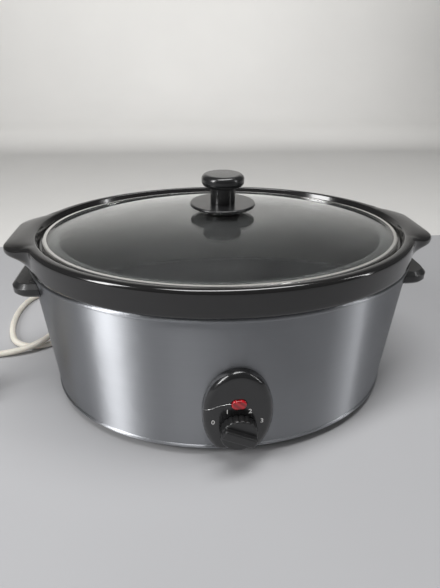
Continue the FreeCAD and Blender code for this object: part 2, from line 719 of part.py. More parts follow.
def make_well():
    """Heating well with its flange, heater band, straps and thermal fuse."""
    outside = oval_solid("well_outside", inset_levels(
        "well_half_length + well_wall", "well_half_width + well_wall",
        vessel_steps("well_taper", "well_corner + well_wall", WELL_UNDER, LIP_UNDER)))
    flange = oval_solid("well_flange", inset_levels(
        "housing_half_length", "housing_half_width",
        [("steel + flange_gap", LIP_UNDER + " - well_wall"), ("steel + flange_gap", LIP_UNDER)]))
    inside = oval_solid("well_inside", inset_levels(
        "well_half_length", "well_half_width",
        vessel_steps("well_taper", "well_corner", WELL_FLOOR, LIP_UNDER)))
    node("heating_well", cut("heating_well", fuse("well_blank", outside, flange), inside))
    node("heater_band", well_band("heater_band", HEATER_LOW, HEATER_TOP, "wrap_gap", "heater_thickness"))
    low = HEATER_LOW + " + strap_inset"
    high = HEATER_TOP + " - strap_inset"
    round_heater = "2 * wrap_gap + heater_thickness"
    for name, strap_low, strap_high in (("heater_strap_low", low, low + " + strap_height"),
                                        ("heater_strap_high", high + " - strap_height", high)):
        node(name, well_band(name, strap_low, strap_high, round_heater, "strap_thickness"))
    level = HEATER_TOP + " + fuse_rise"
    drawn = well_draw(level + " - fuse_radius")
    off_well = "well_half_width + well_wall - %s + wrap_gap + fuse_radius" % drawn
    node("thermal_fuse", rod("thermal_fuse", "fuse_radius", "fuse_length",
                             ("-fuse_length / 2", off_well, level), RIGHT))


def make_crock():
    """Stoneware crock: tub, rim band with a recessed lid seat, and an ear at each end."""
    band = [("rim_relief", LIP_TOP), ("0", LIP_TOP + " + rim_relief")]
    chords = 3
    for chord in range(chords + 1):
        angle = math.pi / 2 * chord / chords
        band.append(("rim_round * %.4f" % (1 - math.cos(angle)),
                     RIM_TOP + " - rim_round * %.4f" % (1 - math.sin(angle))))
    rim = oval_solid("crock_rim", inset_levels("rim_half_length", "rim_half_width", band))
    tub = oval_solid("crock_tub", inset_levels(
        "well_half_length - crock_gap", "well_half_width - crock_gap",
        vessel_steps("well_taper", "crock_corner", CROCK_UNDER, LIP_TOP)))
    reach = size("rim_half_length") + size("ear_reach")
    top = rim_top() - size("ear_drop")
    edge = size("ear_edge")
    flare = size("ear_flare")
    outlines = []
    for inset, level in ((flare, lip_top() + size("rim_relief")), (edge, top - size("ear_thickness")),
                         (0, top - size("ear_thickness") + edge), (0, top - edge), (edge, top)):
        outlines.append((reach - inset, size("ear_half_width") - inset / 2,
                         size("ear_tip_half_width") - inset / 2, size("ear_corner") - inset, level))
    ears = [featured("ear_" + side, shape)
            for side, shape in zip(("right", "left"), both_ends(lug_solid(outlines)))]
    recess = oval_solid("lid_recess", inset_levels(
        "lid_half_length", "lid_half_width", [("-lid_gap", SEAT), ("-lid_gap - seat_slope", RIM_TOP)]))
    bowl = oval_solid("crock_bowl", inset_levels(
        "well_half_length - crock_gap - crock_wall", "well_half_width - crock_gap - crock_wall",
        vessel_steps("well_taper", "crock_corner", CROCK_FLOOR, SEAT)))
    node("crock", cut("crock", fuse("crock_blank", rim, tub, *ears), recess, bowl))


def make_lid():
    """Glass dome in a rolled steel rim, with a knob, guard disc, washers and screw."""
    half = ("lid_half_length", "lid_half_width")
    rim_round = [
        ("lid_rim_round * 0.5", SEAT), ("0", SEAT + " + lid_rim_round * 0.5"),
        ("0", LID_RIM_TOP + " - lid_rim_round"),
        ("lid_rim_round * 0.3", LID_RIM_TOP + " - lid_rim_round * 0.3"), ("lid_rim_round", LID_RIM_TOP)]
    rim = oval_solid("lid_rim_blank", inset_levels(*half, rim_round))
    opening = oval_solid("lid_rim_opening", inset_levels(
        *half, [("lid_rim_width", level) for level in (SEAT, LID_RIM_TOP)]))
    groove = oval_solid("lid_rim_groove", inset_levels(*half, [
        ("lid_rim_steel", GLASS_UNDER), ("lid_rim_steel", GLASS_UNDER + " + glass + lid_rim_play")]))
    node("lid_rim", cut("lid_rim", rim, opening, groove))

    edge = "lid_rim_steel + lid_rim_play"
    chords = 6
    def dome_levels(low):
        levels = []
        for chord in range(chords + 1):
            share = chord / chords
            half_sizes = ["(%s - lid_rim_width) * %.4f + %s * %.4f" % (whole, 1 - share, flat, share)
                          for whole, flat in zip(half, ("dome_flat_half_length", "dome_flat_half_width"))]
            levels.append((*half_sizes, "%s + dome_rise * %.4f" % (low, share * (2 - share))))
        return levels
    glass_top = GLASS_UNDER + " + glass"
    outer = inset_levels(*half, [(edge, GLASS_UNDER), (edge, glass_top)])
    glass = oval_solid("glass_blank", outer + dome_levels(glass_top + " + lid_rim_play / 2"))
    hollow = oval_solid("glass_hollow", dome_levels(GLASS_UNDER))
    hole = rod("glass_hole", "glass_hole_radius", "3 * glass", ("0", "0", DOME_UNDER + " - glass"))
    node("glass_lid", cut("glass_lid", glass, hollow, hole))

    bore = "screw_radius + bore_play"
    node("lid_seal_top", tube("lid_seal_top", "seal_radius", bore, "seal_thickness - lid_rim_play / 2",
                              ("0", "0", DOME_TOP + " + lid_rim_play / 2")))
    node("lid_seal_under", tube("lid_seal_under", "seal_radius", bore, "seal_thickness",
                                ("0", "0", DOME_UNDER + " - seal_thickness")))
    guard = turned("lid_knob_guard", [
        (bore, "0"), ("collar_radius", "0"), ("collar_radius", "collar_height"),
        ("disc_radius", "collar_height"), ("disc_radius", DISC_TOP), (bore, DISC_TOP)],
        ("0", "0", COLLAR_UNDER))
    disc_levels = (size("collar_height"), size("collar_height") + size("disc_thickness"))
    rounded(guard, "disc_round", [(size("disc_radius"), level) for level in disc_levels])
    node("lid_knob_guard", guard)
    knob_top = "stem_height + cap_height"
    bore_end = "screw_bite + screw_radius"
    knob = turned("lid_knob", [
        (bore, "0"), ("stem_radius", "0"), ("stem_radius", "stem_height"), ("cap_radius", "stem_height"),
        ("cap_radius", knob_top), ("0", knob_top), ("0", bore_end), (bore, bore_end)],
        ("0", "0", COLLAR_UNDER + " + " + DISC_TOP))
    cap_top = size("stem_height") + size("cap_height")
    rounded(knob, "cap_round", [(size("cap_radius"), size("stem_height")), (size("cap_radius"), cap_top)])
    node("lid_knob", knob)
    shank = "screw_head_height + 2 * seal_thickness + glass + %s + screw_bite" % DISC_TOP
    node("lid_screw", turned("lid_screw", [
        ("0", "0"), ("screw_head_radius", "0"), ("screw_head_radius", "screw_head_height"),
        ("screw_radius", "screw_head_height"), ("screw_radius", shank), ("0", shank)],
        ("0", "0", DOME_UNDER + " - seal_thickness - screw_head_height")))


def make_handles():
    """A handle under each ear, shaped to the steel, with its screws from inside."""
    reach = size("housing_half_length") + size("handle_reach")
    top = lip_top() - size("handle_drop")
    low = top - size("handle_thickness")
    edge = size("handle_edge")
    slope = size("handle_slope")
    outlines = []
    for inset, level in ((edge, low), (0, low + edge), (0, top - slope), (edge, top - slope + edge),
                         (slope, top)):
        width = size("handle_half_width") - inset
        outlines.append((reach - inset, width, width, size("handle_corner") - inset, level))
    right_blank, left_blank = both_ends(lug_solid(outlines))
    across = "sqrt(1 - (handle_screw_spread / housing_half_width) ^ 2)"
    drawn = "end_taper * (%s - %s) / housing_height" % (LIP_TOP, HANDLE_MIDDLE)
    inner = "((housing_half_length - %s) * %s - steel - bead_radius)" % (drawn, across)
    length = "(steel + bead_radius + handle_screw_bite)"
    screws = []
    bores = []
    for end, y in (("front", "-handle_screw_spread"), ("rear", "handle_screw_spread")):
        name = "handle_screw_" + end
        bores.append(rod(name + "_bore", "handle_screw_radius + bore_play", length,
                         ("-" + inner, y, HANDLE_MIDDLE), LEFT))
        tip = "handle_screw_radius + " + length
        screws.append(turned(name, [
            ("0", "0"), ("handle_screw_head", "0"), ("handle_screw_head", "handle_screw_radius"),
            ("handle_screw_radius", "handle_screw_radius"), ("handle_screw_radius", tip), ("0", tip)],
            ("handle_screw_radius + bore_play - " + inner, y, HANDLE_MIDDLE), LEFT))
    blank = featured("handle_blank", left_blank)
    handle = node("left_handle", cut("left_handle", blank, wrap_solid("handle_seat", "-seat_gap"), *bores))
    pair = node("left_handle_screws", group("left_handle_screws", *screws))
    node("right_handle", mirrored("right_handle", handle))
    node("right_handle_screws", mirrored("right_handle_screws", pair))


def make_panel():
    """Oval control panel with its pilot lamp."""
    behind = "(housing_half_width - panel_root)"
    blank = panel_prism("panel_blank", "0", size("panel_corner"), behind, "panel_face")
    eased = filleted("panel_eased", blank, size("panel_round"), lies_at_front(size("panel_face")))
    inner_corner = size("panel_corner") - size("panel_wall")
    hollow = panel_prism("panel_hollow", "panel_wall", inner_corner, behind, PANEL_BACK)
    seat = wrap_solid("panel_seat", "-seat_gap")
    bush_hole = rod("panel_bush_hole", "bush_radius + bore_play", "panel_wall",
                    ("0", "-" + PANEL_BACK, "dial_level"), FRONT)

    def lens_block(name, grow, near, far):
        corner = ("-lens_width / 2 - %s" % grow, "-(%s)" % far,
                  "lamp_level - lens_height / 2 - %s" % grow)
        box = block(name + "_box", "lens_width + 2 * %s" % grow, "%s - %s" % (far, near),
                    "lens_height + 2 * %s" % grow, corner)
        return filleted(name, box, size("lens_corner"), runs_along("y"))

    lens_hole = lens_block("panel_lens_hole", "bore_play", PANEL_BACK, "panel_face")
    holes = fuse("panel_holes", bush_hole, lens_hole)
    node("control_panel", cut("control_panel", eased, seat, hollow, holes))
    front = "panel_face + lens_proud"
    pane = filleted("lens_pane", lens_block("lens_blank", "0", PANEL_BACK, front), size("lens_round"),
                    lies_at_front(size("panel_face") + size("lens_proud")))
    flange = lens_block("lens_flange", "lens_flange", "(%s - lens_flange_thickness)" % PANEL_BACK, PANEL_BACK)
    node("pilot_lens", fuse("pilot_lens", pane, flange))
    lamp_back = "%s - lens_flange_thickness - lamp_length" % PANEL_BACK
    node("pilot_lamp", rod("pilot_lamp", "lamp_radius", "lamp_length",
                           ("0", "-(%s)" % lamp_back, "lamp_level"), FRONT))


def make_dial():
    """Fluted dial with a grip bar on the switch shaft, and the switch behind the panel."""
    bore = "shaft_radius + shaft_play"
    bore_end = "dial_height - panel_wall / 2"
    dial = turned("dial_body", [
        ("dial_hollow_radius", "0"), ("dial_radius", "0"), ("dial_radius", "dial_height"),
        ("0", "dial_height"), ("0", bore_end), (bore, bore_end), (bore, "dial_hollow_depth"),
        ("dial_hollow_radius", "dial_hollow_depth")],
        ("0", "-" + DIAL_BACK, "dial_level"), FRONT)
    rounded(dial, "dial_round", [(size("dial_radius"), size("dial_height"))])
    flute_sketch = sketch_in(dial, "dial_flute_outline", "XY_Plane")
    flute_circle = Part.Circle(FreeCAD.Vector(size("dial_radius"), 0, 0), FreeCAD.Vector(0, 0, 1),
                               size("flute_radius"))
    flute_sketch.addGeometry(flute_circle, False)
    flute_sketch.addConstraint(Sketcher.Constraint("PointOnObject", 0, 3, -1))
    across = flute_sketch.addConstraint(Sketcher.Constraint("DistanceX", -1, 1, 0, 3, size("dial_radius")))
    bind(flute_sketch, "Constraints[%d]" % across, "dial_radius + flute_radius - flute_depth")
    wide = flute_sketch.addConstraint(Sketcher.Constraint("Radius", 0, size("flute_radius")))
    bind(flute_sketch, "Constraints[%d]" % wide, "flute_radius")
    doc.recompute()
    plain_volume = dial.Shape.Volume
    flute = dial.newObject("PartDesign::Pocket", "dial_flute")
    flute.Profile = flute_sketch
    flute.Type = "ThroughAll"
    flute.Reversed = True
    flutes = dial.newObject("PartDesign::PolarPattern", "dial_flutes")
    flutes.Originals = [flute]
    flutes.Axis = (origin_feature(dial, "Z_Axis"), [""])
    flutes.Angle = 360
    bind(flutes, "Occurrences", "flute_count")
    dial.Tip = flutes
    doc.recompute()
    if dial.Shape.Volume > plain_volume * 0.995:
        raise RuntimeError("the dial's flutes cut nothing")

    grip = doc.addObject("PartDesign::Body", "dial_grip")
    grip_sketch = sketch_in(grip, "dial_grip_outline", "XY_Plane")
    along = "(dial_radius - grip_inset)"
    closed_profile(grip_sketch, [
        ("0", "0"), ("2 * " + along, "0"), ("2 * " + along, "grip_width"), ("0", "grip_width")])
    bar = grip.newObject("PartDesign::Pad", "dial_grip_bar")
    bar.Profile = grip_sketch
    bind(bar, "Length", "grip_rise + panel_wall / 2")
    doc.recompute()
    eased = grip.newObject("PartDesign::Fillet", "dial_grip_eased")
    top = size("grip_rise") + size("panel_wall") / 2
    eased.Base = (bar, ["Edge%d" % (i + 1) for i, edge in enumerate(bar.Shape.Edges)
                        if edge.BoundBox.ZLength > 0.01 or edge.BoundBox.ZMin > top - 0.01])
    bind(eased, "Radius", "grip_round")
    turn = math.radians(size("grip_turn"))
    bar_turn = FRONT.multiply(FreeCAD.Rotation(FreeCAD.Vector(0, 0, 1), size("grip_turn")))
    across_turn, up_turn = math.cos(turn), math.sin(turn)
    place(grip, ("-%s * %.6f + grip_width / 2 * %.6f" % (along, across_turn, up_turn),
                 "-(%s + dial_height - panel_wall / 2)" % DIAL_BACK,
                 "dial_level - %s * %.6f - grip_width / 2 * %.6f" % (along, up_turn, across_turn)), bar_turn)
    node("control_dial", fuse("control_dial", dial, grip))

    tail = "(%s - shaft_tail)" % PANEL_BACK
    shaft_length = "%s + %s - bore_play - %s" % (DIAL_BACK, bore_end, tail)
    node("switch_shaft", rod("switch_shaft", "shaft_radius", shaft_length,
                             ("0", "-" + tail, "dial_level"), FRONT))
    case = block("switch_case", "switch_side", "switch_depth", "switch_side",
                 ("-switch_side / 2", "-" + PANEL_BACK, "dial_level - switch_side / 2"))
    bush_length = "panel_wall + nut_height + dial_gap"
    bush = rod("switch_bush", "bush_radius", bush_length, ("0", "-" + PANEL_BACK, "dial_level"), FRONT)
    shaft_hole = rod("switch_shaft_hole", bore, "shaft_tail + bore_play + " + bush_length,
                     ("0", "-(%s - bore_play)" % tail, "dial_level"), FRONT)
    node("rotary_switch", cut("rotary_switch", fuse("switch_blank", case, bush), shaft_hole))
    node("switch_nut", hexagon("switch_nut", "nut_flats", "bush_radius + bore_play", "nut_height",
                               ("0", "-panel_face", "dial_level"), FRONT))


def make_wiring():
    """Gland, cord tail and terminal block, and the wires inside."""
    wall = "(housing_half_width - %s)" % wall_draw("gland_level")
    inner = "(%s - steel - gland_gap - gland_flange_thickness)" % wall
    inner_top = "gland_flange_thickness"
    outer_low = "(gland_flange_thickness + steel + 2 * gland_gap)"
    outer_top = "(%s + gland_flange_thickness)" % outer_low
    tip = "(gland_tip - %s)" % inner
    node("cord_gland", turned("cord_gland", [
        ("0", "0"), ("gland_flange_radius", "0"), ("gland_flange_radius", inner_top),
        ("gland_neck_radius", inner_top), ("gland_neck_radius", outer_low),
        ("gland_flange_radius", outer_low), ("gland_flange_radius", outer_top),
        ("gland_root_radius", outer_top), ("gland_tip_radius", tip), ("0", tip)],
        ("0", inner, "gland_level"), REAR))
    block_rear = "(block_place + block_width)"
    node("cord_tail", rod("cord_tail", "cord_radius", "%s - %s" % (inner, block_rear),
                          ("0", block_rear, "gland_level"), REAR))
    node("terminal_block", block("terminal_block", "block_length", "block_width", "block_height",
                                 ("-block_length / 2", "block_place", BASE_TOP)))
    radius = size("wire_radius")
    floor = base_top() + size("wire_stand_off") + radius
    switch_back = size("panel_face") - size("panel_wall") - size("switch_depth")
    lamp_back = size("panel_face") - size("panel_wall") - size("lens_flange_thickness") - size("lamp_length")
    rise = switch_back - 2 * size("wire_bend")
    heater_level = base_top() + size("well_lift") + size("heater_low") + size("heater_height") / 2
    across_level = well_draw_at(heater_level)
    off_heater = (size("well_half_width") + size("well_wall") - across_level + 2 * size("wrap_gap")
                  + size("heater_thickness"))
    x = size("wire_offset")
    start = size("block_place")
    rear = start + size("block_width")
    block_middle = base_top() + size("block_height") / 2
    routes = {
        "wire_live": [(x, -start, floor), (x, rise, floor), (x, rise, size("dial_level")),
                      (x, switch_back, size("dial_level"))],
        "wire_neutral": [(-x, -start, floor), (-x, rise, floor), (-x / 3, rise, size("lamp_level")),
                         (-x / 3, lamp_back, size("lamp_level"))],
        "wire_heater": [(-x, -rear, block_middle), (-x, -rear - size("wire_bend") * 1.5, block_middle),
                        (-x, -rear - size("wire_bend") * 1.5, heater_level), (-x, -off_heater, heater_level)],
    }
    for name, route in routes.items():
        points = [(px, -py, pz) for px, py, pz in route]
        bends = [size("wire_bend")] * len(points)
        node(name, featured(name, swept_round(corner_path(points, bends), radius)))


def well_draw_at(level):
    """How far the well's outside has drawn in at a level, as a number."""
    lip_under = lip_top() - size("steel")
    straight_low = base_top() + size("well_lift") + size("well_corner") + size("well_wall")
    return size("well_taper") * (lip_under - level) / (lip_under - straight_low)


def route_radii(points):
    """The arc at each corner of a cord's route: as large as its two runs allow."""
    spots = [FreeCAD.Vector(*point) for point in points]
    radii = [0.0] * len(spots)
    for i in range(1, len(spots) - 1):
        before = spots[i] - spots[i - 1]
        after = spots[i + 1] - spots[i]
        turn = before.getAngle(after)
        radii[i] = 0.45 * min(before.Length, after.Length) / math.tan(turn / 2)
    return radii


def biarc(start, start_way, end, end_way):
    """Two arcs that leave one point and reach another along given ways."""
    gap = end - start
    ways = start_way + end_way
    a = ways.dot(ways) - 4
    b = -2 * gap.dot(ways)
    c = gap.dot(gap)
    reach = (-b - math.sqrt(b * b - 4 * a * c)) / (2 * a)
    first = start + start_way * reach
    second = end - end_way * reach
    middle = (first + second) * 0.5
    arcs = []
    for one, corner, other in ((start, first, middle), (middle, second, end)):
        chord = (one + other) * 0.5
        half = (other - one).Length / 2
        height = (corner - chord).Length
        hypotenuse = math.hypot(half, height)
        sagitta = half * (hypotenuse - half) / height
        arcs.append(Part.Arc(one, chord + (corner - chord).normalize() * sagitta, other).toShape())
    return arcs


def coil_level():
    """The middle of the cord in the coil's lower layer."""
    return size("tie_thickness") + size("tie_play") + size("cord_radius")


def coil_path():
    """Two layers of loops: in along the lower layer, up in the half turn where it reverses, and out again."""
    middle = FreeCAD.Vector(size("coil_x"), size("coil_y"), coil_level())
    step = size("coil_step")
    insets = (0, 0.5, 1, 1, 0.5, 0)
    layers = (0, 0, 0, 1, 1, 1)
    spots = []
    for half_turn, (inset, layer) in enumerate(zip(insets, layers)):
        side = 1 if half_turn % 2 == 0 else -1
        spot = middle + FreeCAD.Vector(0, side * (size("coil_radius") - inset * step), layer * step)
        spots.append((spot, FreeCAD.Vector(-side, 0, 0)))
    straight = 2 * size("cord_radius")
    edges = [Part.LineSegment(spots[0][0] - spots[0][1] * straight, spots[0][0]).toShape()]
    for (start, start_way), (end, end_way) in zip(spots, spots[1:]):
        edges += biarc(start, start_way, end, end_way)
    edges.append(Part.LineSegment(spots[-1][0], spots[-1][0] + spots[-1][1] * straight).toShape())
    return Part.Wire(edges)


def least_self_gap(path, radius):
    """The least clear distance of a coiled tube to itself, measured on points along its middle."""
    spacing = 1.5
    points = path.discretize(Distance=spacing)
    apart = int(math.pi * radius * 2 / spacing)
    nearest = min((points[i] - points[j]).Length
                  for i in range(len(points)) for j in range(i + apart, len(points)))
    return nearest - 2 * radius


def make_cord():
    """The cord from the gland to the coil, the coil, its tie and the plug."""
    radius = size("cord_radius")
    coil = coil_path()
    joint = coil.Edges[0].valueAt(coil.Edges[0].FirstParameter)
    route = [(0, size("gland_tip"), size("gland_level"))] + GLAND_RUN
    route += [(x, y, radius) for x, y in FLOOR_RUN] + CROSSING_RUN
    route += [(x, y, level) for (x, y), level in zip(LAST_RUN, (radius, joint.z))] + [tuple(joint)]
    radii = route_radii(route)
    print("cord radii", ["%.0f" % r for r in radii[1:-1]])
    path = corner_path(route, radii)
    node("power_cord", featured("power_cord", swept_round(path, radius)))
    node("cord_coil", featured("cord_coil", swept_round(coil, radius)))
    print("cord length %.0f, of that in the coil %.0f" % (path.Length + coil.Length, coil.Length))
    print("coil's least gap to itself %.2f" % least_self_gap(coil, radius))

    side = "(coil_radius - 0.75 * coil_step)"
    play = "(cord_radius + tie_play)"
    rise = "(coil_step + 2 * %s)" % play
    outside = block("tie_outside", "2 * (%s + tie_thickness)" % play, "tie_width",
                    "%s + 2 * tie_thickness" % rise,
                    ("coil_x + %s - %s - tie_thickness" % (side, play), "coil_y - tie_width / 2", "0"))
    inside = block("tie_inside", "2 * " + play, "tie_width", rise,
                   ("coil_x + %s - %s" % (side, play), "coil_y - tie_width / 2", "tie_thickness"))
    eased = filleted("tie_eased", outside, radius, runs_along("y"))
    bore = filleted("tie_bore", inside, radius - size("tie_thickness"), runs_along("y"))
    node("cord_tie", cut("cord_tie", eased, bore))
    make_plug()


def make_plug():
    """The plug, on its back with its pins up, at the end of the coil."""
    start = "(coil_x + 2 * cord_radius)"
    middle = "(coil_y - coil_radius)"
    axis = "(tie_thickness + tie_play + cord_radius + coil_step)"
    body = "(%s + plug_sleeve_length)" % start
    case = block("plug_case", "plug_length", "plug_width", "plug_height",
                 (body, "%s - plug_width / 2" % middle, "0"))
    eased = filleted("plug_eased", case, size("plug_corner"), runs_along("z"))
    sleeve = doc.addObject("Part::Cone", "plug_sleeve")
    bind(sleeve, "Radius1", "plug_sleeve_tip_radius")
    bind(sleeve, "Radius2", "plug_sleeve_radius")
    bind(sleeve, "Height", "plug_sleeve_length")
    place(sleeve, (start, middle, axis), RIGHT)
    node("plug_body", fuse("plug_body", eased, sleeve))
    row = "(%s + pin_setback)" % body
    earth_row = "(%s + pin_spacing)" % row
    sleeves = []
    pins = [block("pin_earth", "earth_pin_width", "pin_thickness", "earth_pin_length",
                  (earth_row + " - earth_pin_width / 2", middle + " - pin_thickness / 2", "plug_height"))]
    for name, sign in (("live", "-"), ("neutral", "+")):
        corner = (row + " - pin_thickness / 2", "%s %s pin_spacing / 2 - pin_width / 2" % (middle, sign))
        sleeves.append(block("pin_sleeve_" + name, "pin_thickness", "pin_width", "pin_sleeve",
                             corner + ("plug_height",)))
        pins.append(block("pin_" + name, "pin_thickness", "pin_width", "pin_length - pin_sleeve",
                          corner + ("plug_height + pin_sleeve",)))
    node("plug_pins", group("plug_pins", *pins))
    node("plug_pin_sleeves", group("plug_pin_sleeves", *sleeves))
    corner = ("(%s + %s) / 2 - fuse_cover_length / 2" % (row, earth_row),
              middle + " - fuse_cover_width / 2", "plug_height")
    node("plug_fuse_cover", block("plug_fuse_cover", "fuse_cover_length", "fuse_cover_width",
                                  "fuse_cover_proud", corner))


def check_and_write():
    """Stop on any failed object or bad shape, then write one file for each sub-part."""
    doc.recompute()
    for thing in doc.Objects:
        if "Invalid" in thing.State or "Error" in thing.State:
            raise RuntimeError("%s failed: %s" % (thing.Name, thing.State))
    for thing in NODES:
        if thing.Shape.isNull() or not thing.Shape.isValid() or not thing.Shape.Solids:
            raise RuntimeError("%s has no valid solid" % thing.Label)
    os.makedirs("parts", exist_ok=True)
    for thing in NODES:
        thing.Shape.exportStep("parts/%s.step" % thing.Label)


make_base()
make_housing()
make_well()
make_crock()
make_lid()
make_handles()
make_panel()
make_dial()
make_wiring()
make_cord()
check_and_write()
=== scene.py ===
"""Looks of an oval slow cooker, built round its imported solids. Metres, +Z up, the dial faces -Y."""

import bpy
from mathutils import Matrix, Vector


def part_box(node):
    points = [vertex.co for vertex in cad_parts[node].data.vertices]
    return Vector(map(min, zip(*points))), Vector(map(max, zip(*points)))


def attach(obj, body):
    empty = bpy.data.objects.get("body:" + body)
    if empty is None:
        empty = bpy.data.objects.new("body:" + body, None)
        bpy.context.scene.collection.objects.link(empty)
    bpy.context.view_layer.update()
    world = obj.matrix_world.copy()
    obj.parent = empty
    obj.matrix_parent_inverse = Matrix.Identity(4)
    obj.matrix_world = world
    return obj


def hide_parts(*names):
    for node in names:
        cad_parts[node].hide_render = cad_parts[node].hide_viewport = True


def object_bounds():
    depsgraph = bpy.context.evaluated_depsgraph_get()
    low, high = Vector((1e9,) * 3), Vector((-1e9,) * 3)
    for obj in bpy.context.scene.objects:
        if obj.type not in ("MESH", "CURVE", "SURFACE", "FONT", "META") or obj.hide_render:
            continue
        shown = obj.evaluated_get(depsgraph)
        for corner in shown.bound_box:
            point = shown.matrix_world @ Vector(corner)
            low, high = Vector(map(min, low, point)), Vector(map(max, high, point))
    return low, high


bl_info = {
    "name": "Oval slow cooker",
    "version": (1, 0, 0),
    "blender": (4, 5, 0),
    "location": "View3D > Sidebar > Slow cooker",
    "description": "Dresses a slow cooker's solids with its glaze, steel, glass, controls and cord",
    "category": "Object",
}

import math

import bpy
from mathutils import Matrix, Vector

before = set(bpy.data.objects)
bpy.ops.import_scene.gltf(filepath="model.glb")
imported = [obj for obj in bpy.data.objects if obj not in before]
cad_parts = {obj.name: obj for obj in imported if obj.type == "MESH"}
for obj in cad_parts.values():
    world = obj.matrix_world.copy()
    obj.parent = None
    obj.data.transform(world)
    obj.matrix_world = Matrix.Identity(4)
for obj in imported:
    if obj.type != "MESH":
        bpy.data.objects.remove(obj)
CAD_BOX = [list(corner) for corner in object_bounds()]
MM = 0.001

# The cord's route, in millimetres: out of the gland, round the back and left side of the housing on the
# floor, one loop over itself, then away to the left to the coil
CORD_ROUTE = [
    (0, 163.2, 21), (0, 184, 19.5), (-14, 205, 13), (-40, 216, 6), (-73, 213, 3.5), (-105, 200, 3.5),
    (-134, 180, 3.5), (-158, 152, 3.5), (-173, 119, 3.5), (-181, 86, 3.5), (-191, 56, 3.5),
    (-217, 43.5, 3.5), (-244, 54, 3.5), (-256.5, 82.5, 3.5), (-262, 115, 3.5), (-261, 147, 3.5),
    (-252, 175, 3.5), (-228, 190, 3.5), (-200, 186, 3.5), (-181, 165, 3.5), (-180, 136, 3.5),
    (-186, 108, 3.5), (-195, 91, 7.0), (-196, 66, 12.8), (-207, 43, 12.8), (-232, 33, 7.0),
    (-266, 31, 3.5), (-300, 34, 5.2),
]

# The coil, at each half turn: how many coil steps inside the outer loop, and in which layer
COIL_INSETS = (0.0, 0.5, 1.0, 1.0, 0.5, 0.0)
COIL_LAYERS = (0.0, 0.0, 0.0, 1.0, 1.0, 1.0)
COIL_POINTS_PER_TURN = 16

# The crock's rim in section, in millimetres, from the recess over the top and down outside to its
# underside: how far past the rim's oval and how high, first along the sides, then at an ear's middle
RIM_SECTION = [
    ((-4.0, 167.6), (2.2, 166.8)), ((-2.9, 167.45), (6.6, 165.9)), ((-2.0, 167.06), (10.0, 165.0)),
    ((-1.1, 166.4), (12.3, 164.3)), ((-0.54, 165.6), (13.8, 163.7)), ((-0.14, 164.6), (14.9, 162.9)),
    ((0, 163.6), (15.7, 161.9)), ((0, 161.6), (16.0, 160.6)), ((0, 159.8), (16.0, 159.1)),
    ((0, 158.0), (15.8, 157.8)), ((0, 156.4), (15.2, 156.7)), ((0, 155.0), (14.0, 155.7)),
    ((0, 153.6), (12.1, 154.6)), ((0, 152.2), (9.9, 153.2)), ((0, 150.8), (7.4, 151.6)),
    ((0, 149.4), (5.2, 149.8)), ((0, 148.0), (3.4, 148.1)), ((0, 146.6), (1.8, 146.6)),
    ((-0.1, 145.2), (0.7, 145.2)), ((-0.5, 144.1), (-0.2, 144.1)), ((-1.0, 143.4), (-0.9, 143.4)),
    ((-1.7, 143.0), (-1.7, 143.0)),
]
RIM_HALF_LENGTH = 0.1867

# The crock's ovals, as half length and half width: the bowl at the lid's seat, the recess that the lid
# lies in, and the outside below the rim
BOWL = (0.155, 0.1106)
RECESS = (0.1746, 0.1342)
OUTSIDE = (0.163, 0.1186)

# The crock's levels
BOWL_FLOOR = 0.036
LID_SEAT = 0.1586
RIM_UNDERSIDE = 0.143
CROCK_UNDERSIDE = 0.027

# How far the crock's walls lean in at their foot, and the round there
WALL_LEAN = 0.012
FOOT_ROUND = 0.015
FOOT_STEPS = 9

# Where rings of points lie inside and outside the crock: shares of its flat foot, then of its wall's height
INSIDE_SHARES = ((0.15, 0.55, 0.85), (0.25, 0.5, 0.75, 0.96))
OUTSIDE_SHARES = ((0.4, 0.8), (0.1, 0.4, 0.7))

# The crock's edges in section, as how far inside an oval and how far above a level: from the bowl onto
# the seat, across the seat and up the recess, and from the rim's underside to the outside
SEAT_EDGE = ((-0.0006, -0.0009), (-0.002, 0.0))
RECESS_SECTION = ((0.010, 0.0), (0.0012, 0.0), (0.0004, 0.0003), (-0.0002, 0.0014), (-0.0021, 0.0078),
                  (-0.0025, 0.0086), (-0.0033, 0.0090))
RIM_RETURN = ((-0.004, 0.0), (-0.0008, -0.0002), (0.0004, -0.0012))
CROCK_POINTS = 600

# An ear: its root behind and outside the corner, the softness of its run into the rim, the steps of its
# corner, and how much sooner its height changes than its reach
EAR_ROOT_BACK = 0.0785
EAR_ROOT_WIDER = 0.018
EAR_SOFTNESS = 0.014
EAR_CORNER_STEPS = 12
EAR_LIFT = 1.6

# The glass lid: flat edge under the steel rim, oval of the flat top, rings from there in to the hole
LID_FLANGE = 0.0030
LID_TOP = (0.0275, 0.0210)
LID_TOP_RINGS = (0.012, 0.004)
LID_POINTS = 240
DOME_STEPS = 44
LID_EDGE_STEPS = 8

# Numerals of the dial's settings: where each stands on the panel, in millimetres across and up
DIAL_MARKS = (("0", -21.2, 48.6), ("1", -9.6, 59.2), ("2", 9.4, 58.6), ("3", 19.6, 47.6))
NUMERAL_SIZE = 0.0062
NUMERAL_DEPTH = 0.00006
NUMERAL_PROUD = 0.00008

# The silver line on the panel, as across and up, and the panel's oval that it follows over the edge
LINE_START = (-0.0286, 0.0607)
LINE_RUN = (0.0218, 0.0063)
LINE_RADIUS = 0.00022
LINE_PROUD = 0.00005
LINE_STEPS = 28
PANEL_HALF_WIDTH = 0.030
PANEL_HALF_HEIGHT = 0.045
PANEL_LEVEL = 0.052
PANEL_ROUND = 0.0065

